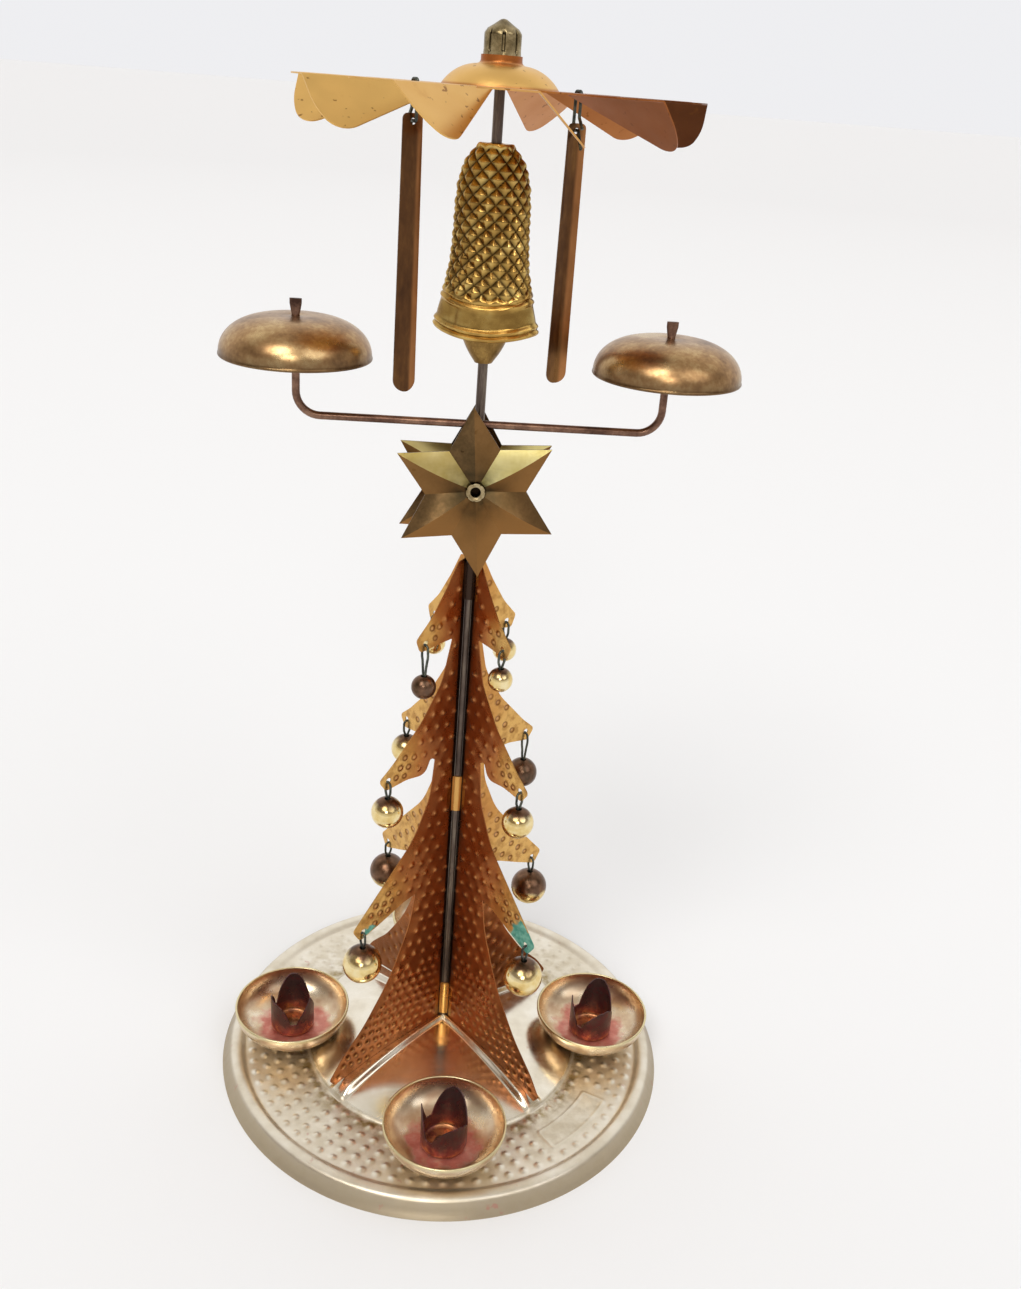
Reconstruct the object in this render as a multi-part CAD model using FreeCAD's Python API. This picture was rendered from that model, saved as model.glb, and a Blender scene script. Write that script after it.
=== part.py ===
import FreeCAD, Part
import math
import os

# Angel chime carousel: four candles drive a fan that carries two strikers past
# two gongs.  Millimetres, +Z up, origin at the centre of the base's underside.
# -Y is the front, the candles stand on the X and Y axes, the gongs at -X and +X.

Vec = FreeCAD.Vector
UP = Vec(0, 0, 1)

# ---------------------------------------------------------------- dimensions
FIT = 0.05                  # clearance of a fitted or running pair
SEAT = 0.02                 # gap between a round piece and the seat that carries it
OVER = 1.0                  # how far a cutting shape runs past what it cuts

# base, stamped from tinplate
BASE_SHEET = 0.45
BASE_R = 69.0
SKIRT_RUN = 2.7             # slope of the skirt, from its foot in to the raised rim
RIM_Z = 5.2
RIM_WIDTH = 4.0
RIM_STEP = 0.5              # half the run of the slope from the rim to the floor
FLOOR_Z = 4.2               # top of the flat ring that holds the dishes
MOUND_R = 42.5
MOUND_EDGE_Z = 4.7
MOUND_TOP_Z = 11.2
RIDGE_EDGE_Z = 6.6
RIDGE_TOP_Z = 12.7
RIDGE_HALF_IN = 1.3
RIDGE_HALF_OUT = 3.4
RIDGE_TURN = 41.0           # azimuth of the first of the four ridges
SEAT_PAD_R = 5.2
SEAT_PAD_FLARE = 1.8
SEAT_PAD_Z = 6.2

# candle dishes and sockets
DISH_BEYOND_MOUND = 5.2     # dish's axis from the mound's foot
DISH_R = 17.66
DISH_FLAT_EXTRA = 0.3       # flat floor beyond the socket
DISH_RIM_Z = 14.7
DISH_SHEET = 0.4
DISH_BEAD_R = 0.35
SOCKET_R = 6.35             # inside radius, for a half-inch chime candle
SOCKET_SHEET = 0.35
SOCKET_CORNER_R = 1.2       # inside radius between the floor and the wall
SOCKET_CUP_H = 5.0
SOCKET_H = 15.8
PETAL_COUNT = 3
PETAL_AZ = {"front": 60.0, "right": 60.0, "back": 60.0, "left": 90.0}
PETAL_TIP_R = 1.7
PETAL_SHOULDER = 4.6
PETAL_SHOULDER_H = 10.5
PETAL_BLEND_R = 4.0
RIVET_R = 1.5
RIVET_HEAD_R = 2.7
RIVET_HEAD_H = 0.55
RIVET_TAIL_H = 0.8

# spindle and its nut
ROD_R = 1.25
ROD_BELOW_NUT = 1.2
NUT_FLATS = 5.0
NUT_H = 2.2
ROD_EYE_WALL = 1.6
ROD_EYE_THINNER = 0.6       # the eye's thickness below the spindle's diameter
NEEDLE_H = 5.0
NEEDLE_TIP_R = 0.2

# tree: two folded sheets, four half panels, three branches each
TREE_SHEET = 0.3
TREE_FRONT_AZ = (219.0, 310.5)
TREE_BACK_AZ = (37.0, 127.0)
TREE_FOOT_GAP = 0.1         # bottom edge above the ridge
TREE_CORNER_RISE = 0.7      # top of the slot side above the outline's first corner
SLOT_GAP = 0.4              # panels' inner edge beside a slot, from the band's outside
BAND_TAB = 0.5
BANDS = ((13.4, 25.3), (89.0, 100.5), (156.0, 166.5))
TIERS = (                   # branch hole: radius and height
    ("top", 14.4, 146.0),
    ("middle", 25.4, 107.2),
    ("bottom", 32.7, 59.4),
)
HOLE_PLAY = 0.5             # branch hole's radius beyond the hook wire's
# outer edge of a half panel, from the star down to the foot: radius, height, corner radius
PANEL_EDGE = (
    (4.2, 167.3, 0.5), (8.0, 160.2, 20.0), (12.8, 152.6, 20.0), (17.6, 147.4, 1.3),
    (16.2, 143.6, 1.2), (9.5, 144.7, 6.0), (5.0, 145.2, 0.4), (7.9, 132.4, 14.0),
    (14.5, 121.8, 22.0), (24.0, 111.6, 20.0), (28.6, 107.6, 1.3), (26.2, 104.2, 1.4),
    (19.0, 105.3, 8.0), (12.6, 104.8, 3.0), (10.6, 109.6, 0.7), (9.0, 108.4, 0.4),
    (10.2, 96.0, 20.0), (15.6, 83.7, 26.0), (27.0, 71.0, 40.0), (36.3, 60.6, 1.4),
    (33.8, 56.6, 1.4), (26.0, 59.9, 20.0), (18.6, 63.3, 8.0), (13.9, 64.6, 0.5),
    (15.6, 54.0, 40.0), (22.3, 37.2, 60.0), (31.6, 23.4, 40.0), (39.5, 15.2, 20.0),
    (43.6, 9.3, 0.8),
)
FOOT_R = 41.9

# balls and their wire hooks, one size per tier
BALL_R = {"top": 3.4, "middle": 4.5, "bottom": 5.7}
BALL_SHEET = 0.4
BALL_MOUTH_PLAY = 0.25
HOOK_WIRE_R = 0.35
HOOK_BEND_R = 1.1
HOOK_DROP = 5.6             # branch hole to the top of the ball
HOOK_LONG_DROP = 9.6
HOOK_TAIL = 1.3             # wire ends inside the ball
HOOK_PINCH = 0.04           # half the gap between the pinched legs
HOOK_NECK = 0.6
HOOK_FLARE = 0.5
LONG_HOOKS = ("front_left_top", "back_right_middle")

# star: two pressed plates riveted over the spindle's eye
STAR_OVER_TREE = 18.6       # star's centre above the tree's top
STAR_TIP_R = 22.8
STAR_NOTCH_R = 13.1
STAR_POINTS = 6
STAR_SHEET = 0.35
STAR_FRONT_TURN = 4.4       # each plate sits slightly turned on the rivet, degrees
STAR_BACK_TURN = 1.0
STAR_HUB_GAP = 0.1          # inner face at the rivet, from the spindle
STAR_NOTCH_RISE = 1.8       # outer face beyond the inner face at the rivet
STAR_RIDGE_RISE = 3.85
STAR_TIP_RISE = 2.9
STAR_RIVET_R = 1.65
STAR_RIVET_WALL = 0.4
STAR_RIVET_HEAD = 1.35      # the lip's reach beyond the rivet's barrel
STAR_RIVET_LIP = 0.3

# gong arm and gongs
ARM_R = 1.0
ARM_OVER_STAR = 18.0        # arm above the star's centre
ARM_HALF = 46.2
ARM_BEND_R = 6.0
PIN_RISE = 4.0              # top of the pin above the gong
PIN_FLAT_H = 2.6
PIN_FLAT_WIDER = 0.5        # flattened end's half width beyond the wire's radius
PIN_FLAT_T = 1.0
PIN_CROWN = 0.3
PIN_COLLAR_STEP = 0.9
PIN_COLLAR_H = 0.9
GONG_R = 18.7
GONG_OVER_ARM = 14.8        # gong's rim above the arm
GONG_H = 9.6
GONG_SHEET = 0.5
GONG_LIP_R = 0.4
GONG_LIP_OUT = 0.15
GONG_FLAT = 0.22            # flat share of the gong's radius

# bell, two pressed halves and a clapper on the spindle
BELL_SHEET = 0.4
BELL_SEAM = 0.15            # each half's edge from the middle plane
BELL_OVER_ARM = 21.4        # lowest point of the bell's lip above the arm
BELL_LIP_CUT = 0.5          # the hollow runs this far below the outside
BELL_SECTIONS = (           # height from the lip, half width, half depth
    (-3.0, 14.0, 6.9), (1.5, 13.7, 6.8), (5.5, 13.0, 6.4), (11.0, 11.5, 5.9),
    (17.0, 10.2, 5.5), (24.0, 9.6, 5.3), (31.0, 9.4, 5.2), (36.5, 8.8, 4.9),
    (41.0, 7.2, 4.2), (44.6, 4.2, 3.0),
)
BELL_MOUTH_CURVE_R = 45.0
BELL_TURN = -18.0           # about the spindle, degrees
CLAPPER_SECTIONS = (
    (2.6, 5.9, 4.6), (0.0, 5.6, 4.4), (-3.2, 4.2, 3.4), (-6.2, 2.2, 2.0),
)

# fan wheel
FAN_OVER_ARM = 77.7         # underside of the flat sheet above the arm
FAN_SHEET = 0.35
FAN_R = 47.4
BLADE_COUNT = 10
SLIT_AZ = 9.4               # azimuth of the first radial slit
SLIT_BEYOND_DOME = 3.0      # the slits start this far outside the dome's rim
FOLD_SPAN_DEG = 20.6        # a fold meets the fan's edge this far before its slit
FLAP_BEND_DEG = 44.3
FLAP_ROOT = 0.05            # overlap of the flap with the arm at the fold
FLAP_CORNER_R = 5.0         # where the flap's slit side meets the fan's edge
FLAP_EDGE_R = 19.0          # bow of the flap's outer edge
ARM_CORNER_R = 2.0
ARM_EDGE_R = 30.0
DOME_R = 13.6
DOME_H = 4.7
DOME_SWELL = 0.8            # how far the dome's side stands out of a straight cone
DOME_SWELL_AT = 0.66        # share of the dome's height
DOME_SEAM = 0.1
NECK_FLARE = 0.9
NECK_H = 1.9

# pivot cap
CAP_R = 4.35
CAP_WALL = 0.45
CAP_H = 9.4
CAP_CONE_H = 3.0
CAP_SLITS = 8
CAP_SLIT_W = 0.5
CAP_SINK = 1.6              # length of the cap inside the neck
CAP_CROWN = 1.6             # solid top above the needle's point
CAP_SHOULDER_SHARE = 0.82
CAP_SHOULDER_H = 1.0
CAP_NOSE_R = 0.9
CAP_NOSE_H = 0.25
CAP_INNER_DROP = 0.3        # inside cone's start below the outside shoulder
CAP_SLIT_START = 0.8        # above the neck

# strikers
STRIKER_R = 21.5
STRIKER_AZ = {"left": 206.5, "right": 26.5}
STRIKER_SHEET = 0.35
STRIKER_TOP_W = 4.9
STRIKER_W = 5.8
STRIKER_CREASE = 0.9
STRIKER_BELOW_RIM = 5.8     # strip's end below the gongs' rims
STRIKER_TOP_CORNER_R = 1.2
STRIKER_SIDE = 0.5          # folded channel beyond the cut outline
STRIKER_END_FLAT = 0.1
STRIKER_HANG = 6.2          # strip's top below the fan
STRIKER_EYE = 1.7           # wire hole below the strip's top
STRIKER_HOLE_PLAY = 0.3
WIRE_R = 0.4
WIRE_HALF = 1.15            # half the spacing of the wire's two legs
WIRE_HOLE_PLAY = 0.15
WIRE_BEND = 0.1             # inner bend radius
WIRE_LOW_END = (3.0, 4.2)   # offset and drop of the wire's lower end
WIRE_HIGH_END = (2.9, 0.4)  # offset and height of its upper end
WIRE_HIGH_BEND = 2.8

# ------------------------------------------------------------ derived values
RIM_R = BASE_R - SKIRT_RUN
DISH_PITCH_R = MOUND_R + DISH_BEYOND_MOUND
DISH_Z = SEAT_PAD_Z
DISH_FLOOR_Z = DISH_Z + DISH_SHEET
DISH_FLAT_R = SOCKET_R + SOCKET_SHEET + DISH_FLAT_EXTRA
SOCKET_FLOOR_Z = DISH_FLOOR_Z + SOCKET_SHEET
RIVET_HOLE_R = RIVET_R + FIT
BORE = ROD_R + FIT
NUT_CORNER_R = NUT_FLATS / 2 / math.cos(math.pi / 6)
ROD_EYE_R = STAR_RIVET_R + FIT + ROD_EYE_WALL
ROD_EYE_T = 2 * ROD_R - ROD_EYE_THINNER
SLOT_R = BORE + TREE_SHEET + SLOT_GAP
TREE_TOP_Z = PANEL_EDGE[0][1] + TREE_CORNER_RISE
HOLE_R = HOOK_WIRE_R + HOLE_PLAY
BALL_MOUTH_R = 2 * HOOK_WIRE_R + BALL_MOUTH_PLAY
STAR_Z = TREE_TOP_Z + STAR_OVER_TREE
STAR_HUB_Y = ROD_R + STAR_HUB_GAP
STAR_RIVET_HEAD_R = STAR_RIVET_R + STAR_RIVET_HEAD
ARM_Z = STAR_Z + ARM_OVER_STAR
ARM_Y = -(ROD_R + ARM_R + SEAT)
GONG_RIM_Z = ARM_Z + GONG_OVER_ARM
GONG_TOP_Z = GONG_RIM_Z + GONG_H
GONG_HOLE_R = ARM_R + FIT
PIN_TOP_Z = GONG_TOP_Z + PIN_RISE
BELL_MOUTH_Z = ARM_Z + BELL_OVER_ARM
FAN_Z = ARM_Z + FAN_OVER_ARM
BLADE_DEG = 360.0 / BLADE_COUNT
SLIT_START_R = DOME_R + SLIT_BEYOND_DOME
CAP_BOTTOM_Z = FAN_Z + DOME_H + NECK_H - CAP_SINK
CAP_TOP_Z = CAP_BOTTOM_Z + CAP_H
NEEDLE_TIP_Z = CAP_TOP_Z - CAP_CROWN
STRIKER_TOP_Z = FAN_Z - STRIKER_HANG
STRIKER_END_Z = GONG_RIM_Z - STRIKER_BELOW_RIM
STRIKER_HOLE_R = WIRE_R + STRIKER_HOLE_PLAY
WIRE_HOLE_R = WIRE_R + WIRE_HOLE_PLAY
QUARTERS = (("front", 270.0), ("right", 0.0), ("back", 90.0), ("left", 180.0))
PANELS = (
    ("front_left", TREE_FRONT_AZ[0]), ("front_right", TREE_FRONT_AZ[1]),
    ("back_right", TREE_BACK_AZ[0]), ("back_left", TREE_BACK_AZ[1]),
)


# ------------------------------------------------------------------- helpers
def save(name, shape):
    """Write one sub-part."""
    shape = shape.removeSplitter()
    if not shape.isValid():
        raise ValueError(name + " is not valid")
    shape.exportStep("parts/" + name + ".step")


def polar(radius, azimuth, z=0.0):
    """Point at a radius, an azimuth in degrees and a height."""
    a = math.radians(azimuth)
    return Vec(radius * math.cos(a), radius * math.sin(a), z)


def outward(azimuth):
    return polar(1.0, azimuth)


def around(azimuth):
    return polar(1.0, azimuth + 90.0)


def cylinder(radius, low, high, x=0.0, y=0.0):
    return Part.makeCylinder(radius, high - low, Vec(x, y, low))


def across(radius, length, x, z, y=0.0):
    """Cylinder along Y, centred at x, y, z."""
    return Part.makeCylinder(radius, length, Vec(x, y - length / 2, z), Vec(0, 1, 0))


def rounded_wire(corners, place):
    """Closed wire through corners (u, v, corner radius), each corner an arc."""
    points = [place(u, v) for u, v, _ in corners]
    edges = []
    ends = []
    for i, (_, _, radius) in enumerate(corners):
        here = points[i]
        back = (points[i - 1] - here).normalize()
        ahead = (points[(i + 1) % len(points)] - here).normalize()
        half = back.getAngle(ahead) / 2
        if radius <= 0:
            ends.append((here, here))
            continue
        reach = radius / math.tan(half)
        start = here + back * reach
        end = here + ahead * reach
        inward = (back + ahead).normalize()
        middle = here + inward * (radius / math.sin(half) - radius)
        edges.append((i, Part.Arc(start, middle, end).toShape()))
        ends.append((start, end))
    ordered = []
    arcs = dict(edges)
    for i in range(len(corners)):
        if i in arcs:
            ordered.append(arcs[i])
        start = ends[i][1]
        end = ends[(i + 1) % len(corners)][0]
        if start.distanceToPoint(end) > 1e-6:
            ordered.append(Part.makeLine(start, end))
    return Part.Wire(ordered)


def plate(corners, place, normal, thickness):
    """Flat sheet with a rounded outline, centred on its plane."""
    face = Part.Face(rounded_wire(corners, place))
    face.translate(normal * (-thickness / 2))
    return face.extrude(normal * thickness)


def bent_wire(points, bend_r, wire_r):
    """Round wire along points, each inner corner bent to a radius."""
    edges = []
    last = points[0]
    for i in range(1, len(points) - 1):
        here = points[i]
        back = (points[i - 1] - here).normalize()
        ahead = (points[i + 1] - here).normalize()
        half = back.getAngle(ahead) / 2
        reach = bend_r / math.tan(half)
        start = here + back * reach
        end = here + ahead * reach
        middle = here + (back + ahead).normalize() * (bend_r / math.sin(half) - bend_r)
        edges.append(Part.makeLine(last, start))
        edges.append(Part.Arc(start, middle, end).toShape())
        last = end
    edges.append(Part.makeLine(last, points[-1]))
    path = Part.Wire(edges)
    circle = Part.makeCircle(wire_r, points[0], points[1] - points[0])
    return path.makePipeShell([Part.Wire(circle)], True, False)


def revolve(edges):
    """Solid of revolution about Z from a closed profile in the XZ plane."""
    return Part.Face(Part.Wire(edges)).revolve(Vec(0, 0, 0), UP, 360)


def polyline(points):
    """Edges of a closed polygon given as (r, z)."""
    corners = [Vec(r, 0, z) for r, z in points]
    return [
        Part.makeLine(corners[i], corners[(i + 1) % len(corners)])
        for i in range(len(corners))
    ]


def bowl_solid(radius, flat_r, low, high):
    """Filled bowl: flat bottom, quarter-ellipse side, mouth at the top."""
    centre = Vec(flat_r, 0, high)
    reach = centre + Vec(radius - flat_r, 0, 0)
    foot = centre - Vec(0, 0, high - low)
    if radius - flat_r > high - low:
        curve = Part.Ellipse(reach, foot, centre)
    else:
        curve = Part.Ellipse(foot, reach, centre)
    side = curve.toShape(0, math.pi / 2)
    lines = [Part.makeLine(Vec(0, 0, high), Vec(radius, 0, high)), side]
    if flat_r > 0:
        lines.append(Part.makeLine(Vec(flat_r, 0, low), Vec(0, 0, low)))
    lines.append(Part.makeLine(Vec(0, 0, low), Vec(0, 0, high)))
    return revolve(lines)


def dome_cap(radius, edge_z, top_z):
    """Spherical cap over a disc, filled down to z = 0."""
    rise = top_z - edge_z
    sphere_r = (radius ** 2 + rise ** 2) / (2 * rise)
    ball = Part.makeSphere(sphere_r, Vec(0, 0, top_z - sphere_r))
    return ball.common(cylinder(radius, 0, top_z + OVER))


def cap_height(r, radius, edge_z, top_z):
    """Height of that spherical cap at radius r."""
    rise = top_z - edge_z
    sphere_r = (radius ** 2 + rise ** 2) / (2 * rise)
    return top_z - sphere_r + math.sqrt(sphere_r ** 2 - r ** 2)


def ellipse_loft(sections, inset=0.0):
    """Loft through ellipses (z, half width in X, half depth in Y)."""
    wires = []
    for z, width, depth in sections:
        curve = Part.Ellipse(Vec(width - inset, 0, z), Vec(0, depth - inset, z), Vec(0, 0, z))
        wires.append(Part.Wire(curve.toShape()))
    return Part.makeLoft(wires, True, False)


# ---------------------------------------------------------------------- base
def base_form(drop):
    """Filled form of the pressed base, shrunk by drop for the inside."""
    rim_inner = RIM_R - RIM_WIDTH
    profile = polyline([
        (0, -drop), (BASE_R - drop, -drop), (RIM_R - drop, RIM_Z - drop),
        (rim_inner + RIM_STEP, RIM_Z - drop), (rim_inner - RIM_STEP, FLOOR_Z - drop),
        (0, FLOOR_Z - drop)])
    form = revolve(profile)
    mound = dome_cap(MOUND_R - drop, MOUND_EDGE_Z - drop, MOUND_TOP_Z - drop)
    crest = dome_cap(MOUND_R - drop, RIDGE_EDGE_Z - drop, RIDGE_TOP_Z - drop)
    pads = []
    for _, azimuth in QUARTERS:
        seat = polar(DISH_PITCH_R, azimuth)
        pads.append(Part.makeCone(
            SEAT_PAD_R + SEAT_PAD_FLARE - drop, SEAT_PAD_R - drop, SEAT_PAD_Z - drop, seat))
    ridges = []
    for quarter in range(4):
        azimuth = RIDGE_TURN + 90 * quarter
        side = around(azimuth)
        far = outward(azimuth) * (MOUND_R + OVER)
        half_in = RIDGE_HALF_IN - drop
        half_out = RIDGE_HALF_OUT - drop
        plan = Part.makePolygon([
            side * half_in, far + side * half_out, far - side * half_out,
            side * -half_in, side * half_in])
        ridges.append(Part.Face(plan).extrude(UP * (RIDGE_TOP_Z + OVER)).common(crest))
    return form.multiFuse([mound] + ridges + pads)


def base_plate():
    shell = base_form(0.0).cut(base_form(BASE_SHEET))
    holes = [cylinder(BORE, 0, RIDGE_TOP_Z + OVER)]
    for _, azimuth in QUARTERS:
        seat = polar(DISH_PITCH_R, azimuth)
        holes.append(cylinder(RIVET_HOLE_R, 0, SEAT_PAD_Z + OVER, seat.x, seat.y))
    return shell.cut(holes)


def nut_top():
    """Height at which the nut's corners meet the underside of the mound."""
    t = BASE_SHEET
    return cap_height(NUT_CORNER_R, MOUND_R - t, MOUND_EDGE_Z - t, MOUND_TOP_Z - t) - SEAT


def base_nut():
    """Hexagon nut under the mound."""
    low = nut_top() - NUT_H
    points = [polar(NUT_CORNER_R, 60 * k, low) for k in range(7)]
    body = Part.Face(Part.makePolygon(points)).extrude(UP * NUT_H)
    return body.cut(cylinder(BORE, 0, nut_top() + OVER))


# ---------------------------------------------------------- dishes and sockets
def candle_dish():
    """Dish about its own axis."""
    outer = bowl_solid(DISH_R, DISH_FLAT_R, DISH_Z, DISH_RIM_Z)
    inner = bowl_solid(DISH_R - DISH_SHEET, DISH_FLAT_R, DISH_Z + DISH_SHEET, DISH_RIM_Z)
    bead = Part.makeTorus(DISH_R - DISH_BEAD_R, DISH_BEAD_R, Vec(0, 0, DISH_RIM_Z))
    return outer.cut(inner).fuse(bead).cut(cylinder(RIVET_HOLE_R, 0, DISH_RIM_Z))


def cup_solid(radius, corner, low, high):
    """Filled cup with a rounded bottom edge."""
    body = cylinder(radius, low, high)
    foot = min(body.Edges, key=lambda edge: edge.CenterOfMass.z)
    return body.makeFillet(corner, [foot])


def candle_socket(first_petal):
    """Three-petal cup about its own axis; first_petal is a petal's azimuth."""
    low = DISH_FLOOR_Z
    outer_r = SOCKET_R + SOCKET_SHEET
    outer = cup_solid(outer_r, SOCKET_CORNER_R + SOCKET_SHEET, low, low + SOCKET_H)
    tube = outer.cut(cup_solid(SOCKET_R, SOCKET_CORNER_R, SOCKET_FLOOR_Z, low + SOCKET_H))
    reach = outer_r + OVER
    keep = [cylinder(reach, low, low + SOCKET_CUP_H)]
    root = low + SOCKET_CUP_H - OVER / 2
    half = outer_r * math.sin(math.pi / PETAL_COUNT)
    for k in range(PETAL_COUNT):
        azimuth = first_petal + 360.0 / PETAL_COUNT * k
        side = around(azimuth)
        corners = [
            (-half, root, 0), (half, root, 0),
            (PETAL_SHOULDER, low + PETAL_SHOULDER_H, PETAL_BLEND_R),
            (0, low + SOCKET_H + OVER / 2, PETAL_TIP_R),
            (-PETAL_SHOULDER, low + PETAL_SHOULDER_H, PETAL_BLEND_R)]
        face = Part.Face(rounded_wire(corners, lambda u, v: side * u + UP * v))
        keep.append(face.extrude(outward(azimuth) * reach))
    kept = keep[0].multiFuse(keep[1:])
    return tube.common(kept).cut(cylinder(RIVET_HOLE_R, 0, SOCKET_FLOOR_Z + OVER))


def dish_rivet(x, y):
    """Rivet through base, dish and socket."""
    under = SEAT_PAD_Z - BASE_SHEET
    shank = cylinder(RIVET_R, under - RIVET_TAIL_H, SOCKET_FLOOR_Z + SEAT, x, y)
    tail = cylinder(RIVET_HEAD_R, under - SEAT - RIVET_TAIL_H, under - SEAT, x, y)
    head_r = (RIVET_HEAD_R ** 2 + RIVET_HEAD_H ** 2) / (2 * RIVET_HEAD_H)
    top = SOCKET_FLOOR_Z + SEAT
    ball = Part.makeSphere(head_r, Vec(x, y, top + RIVET_HEAD_H - head_r))
    head = ball.common(cylinder(RIVET_HEAD_R, top, top + RIVET_HEAD_H, x, y))
    return shank.multiFuse([tail, head])


# ------------------------------------------------------------------- spindle
def center_rod():
    """Spindle with a flattened eye for the star's rivet and a needle point."""
    shoulder = NEEDLE_TIP_Z - NEEDLE_H
    bottom = nut_top() - NUT_H - ROD_BELOW_NUT
    shaft = cylinder(ROD_R, bottom, shoulder)
    needle = Part.makeCone(ROD_R, NEEDLE_TIP_R, NEEDLE_H, Vec(0, 0, shoulder))
    eye = across(ROD_EYE_R, ROD_EYE_T, 0, STAR_Z)
    gap = across(STAR_RIVET_R + FIT, 4 * ROD_R, 0, STAR_Z)
    return shaft.multiFuse([needle, eye]).cut(gap)


# ---------------------------------------------------------------------- tree
def crest_ball(gap):
    """Sphere that carries the ridges' crests, grown by a gap."""
    rise = RIDGE_TOP_Z - RIDGE_EDGE_Z
    radius = (MOUND_R ** 2 + rise ** 2) / (2 * rise)
    return Part.makeSphere(radius + gap, Vec(0, 0, RIDGE_TOP_Z - radius))


def half_panel(azimuth):
    """Flat panel in a radial plane, with three branches and a long foot."""
    def place(r, z):
        return polar(r, azimuth, z)
    inner = [(SLOT_R, FLOOR_Z, 0), (SLOT_R, TREE_TOP_Z, 0)]
    foot = [(FOOT_R, FLOOR_Z, 0)]
    corners = inner + list(PANEL_EDGE) + foot
    sheet = plate(corners, place, around(azimuth), TREE_SHEET).cut(crest_ball(TREE_FOOT_GAP))
    for _, hole_r, hole_z in TIERS:
        start = polar(hole_r, azimuth, hole_z) - around(azimuth) * OVER
        sheet = sheet.cut(Part.makeCylinder(HOLE_R, 2 * OVER, start, around(azimuth)))
    return sheet


def tree_sheet(azimuths):
    """Two half panels joined by bands that clasp the spindle."""
    pieces = [half_panel(a) for a in azimuths]
    first, second = azimuths
    spread = math.radians(second - first)
    middle = (first + second) / 2
    reach = 4 * ROD_R
    wedge = Part.Face(Part.makePolygon([
        Vec(0, 0, 0), polar(reach, first), polar(reach / math.cos(spread / 2), middle),
        polar(reach, second), Vec(0, 0, 0)])).extrude(UP * TREE_TOP_Z)
    for low, high in BANDS:
        ring = cylinder(BORE + TREE_SHEET, low, high).cut(cylinder(BORE, low, high))
        pieces.append(ring.common(wedge))
        for azimuth in azimuths:
            tab_r = SLOT_R + BAND_TAB
            corners = [(BORE, low, 0), (BORE, high, 0), (tab_r, high, 0), (tab_r, low, 0)]
            strip = plate(corners, lambda r, z: polar(r, azimuth, z), around(azimuth), TREE_SHEET)
            pieces.append(strip.cut(cylinder(BORE, low - OVER, high + OVER)))
    return pieces[0].multiFuse(pieces[1:])


# --------------------------------------------------------- balls and hooks
def hook_drop(name):
    return HOOK_LONG_DROP if name in LONG_HOOKS else HOOK_DROP


def ball(place_name, azimuth, tier, hole_r, hole_z):
    """Thin hollow ball with a mouth for the hook's two ends."""
    radius = BALL_R[tier]
    top = hole_z - hook_drop(place_name + "_" + tier)
    centre = polar(hole_r, azimuth, top - radius)
    shell = Part.makeSphere(radius, centre).cut(Part.makeSphere(radius - BALL_SHEET, centre))
    return shell.cut(cylinder(BALL_MOUTH_R, centre.z, top + OVER, centre.x, centre.y))


def hook(place_name, azimuth, tier, hole_r, hole_z):
    """Hairpin through the branch hole, its two ends caught inside the ball."""
    drop = hook_drop(place_name + "_" + tier)
    crest = hole_z - HOLE_R + HOOK_WIRE_R + SEAT
    low = hole_z - drop
    side = around(azimuth)
    axis = polar(hole_r, azimuth)
    pinch = HOOK_WIRE_R + HOOK_PINCH

    def at(offset, z):
        return axis + side * offset + UP * z
    top = Part.Arc(at(-HOOK_BEND_R, crest - HOOK_BEND_R), at(0, crest),
                   at(HOOK_BEND_R, crest - HOOK_BEND_R)).toShape()
    legs = []
    for sign in (-1, 1):
        shoulder = at(sign * HOOK_BEND_R, crest - HOOK_BEND_R)
        waist = at(sign * pinch, low + HOOK_NECK)
        neck = at(sign * pinch, low - HOOK_NECK)
        end = at(sign * (pinch + HOOK_FLARE), low - HOOK_NECK - HOOK_TAIL)
        for start, stop in ((shoulder, waist), (waist, neck), (neck, end)):
            run = stop - start
            legs.append(Part.makeCylinder(HOOK_WIRE_R, run.Length, start, run))
            legs.append(Part.makeSphere(HOOK_WIRE_R, stop))
        legs.append(Part.makeSphere(HOOK_WIRE_R, shoulder))
    circle = Part.makeCircle(HOOK_WIRE_R, at(-HOOK_BEND_R, crest - HOOK_BEND_R), UP)
    bend = Part.Wire(top).makePipeShell([Part.Wire(circle)], True, False)
    return bend.multiFuse(legs)


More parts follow.
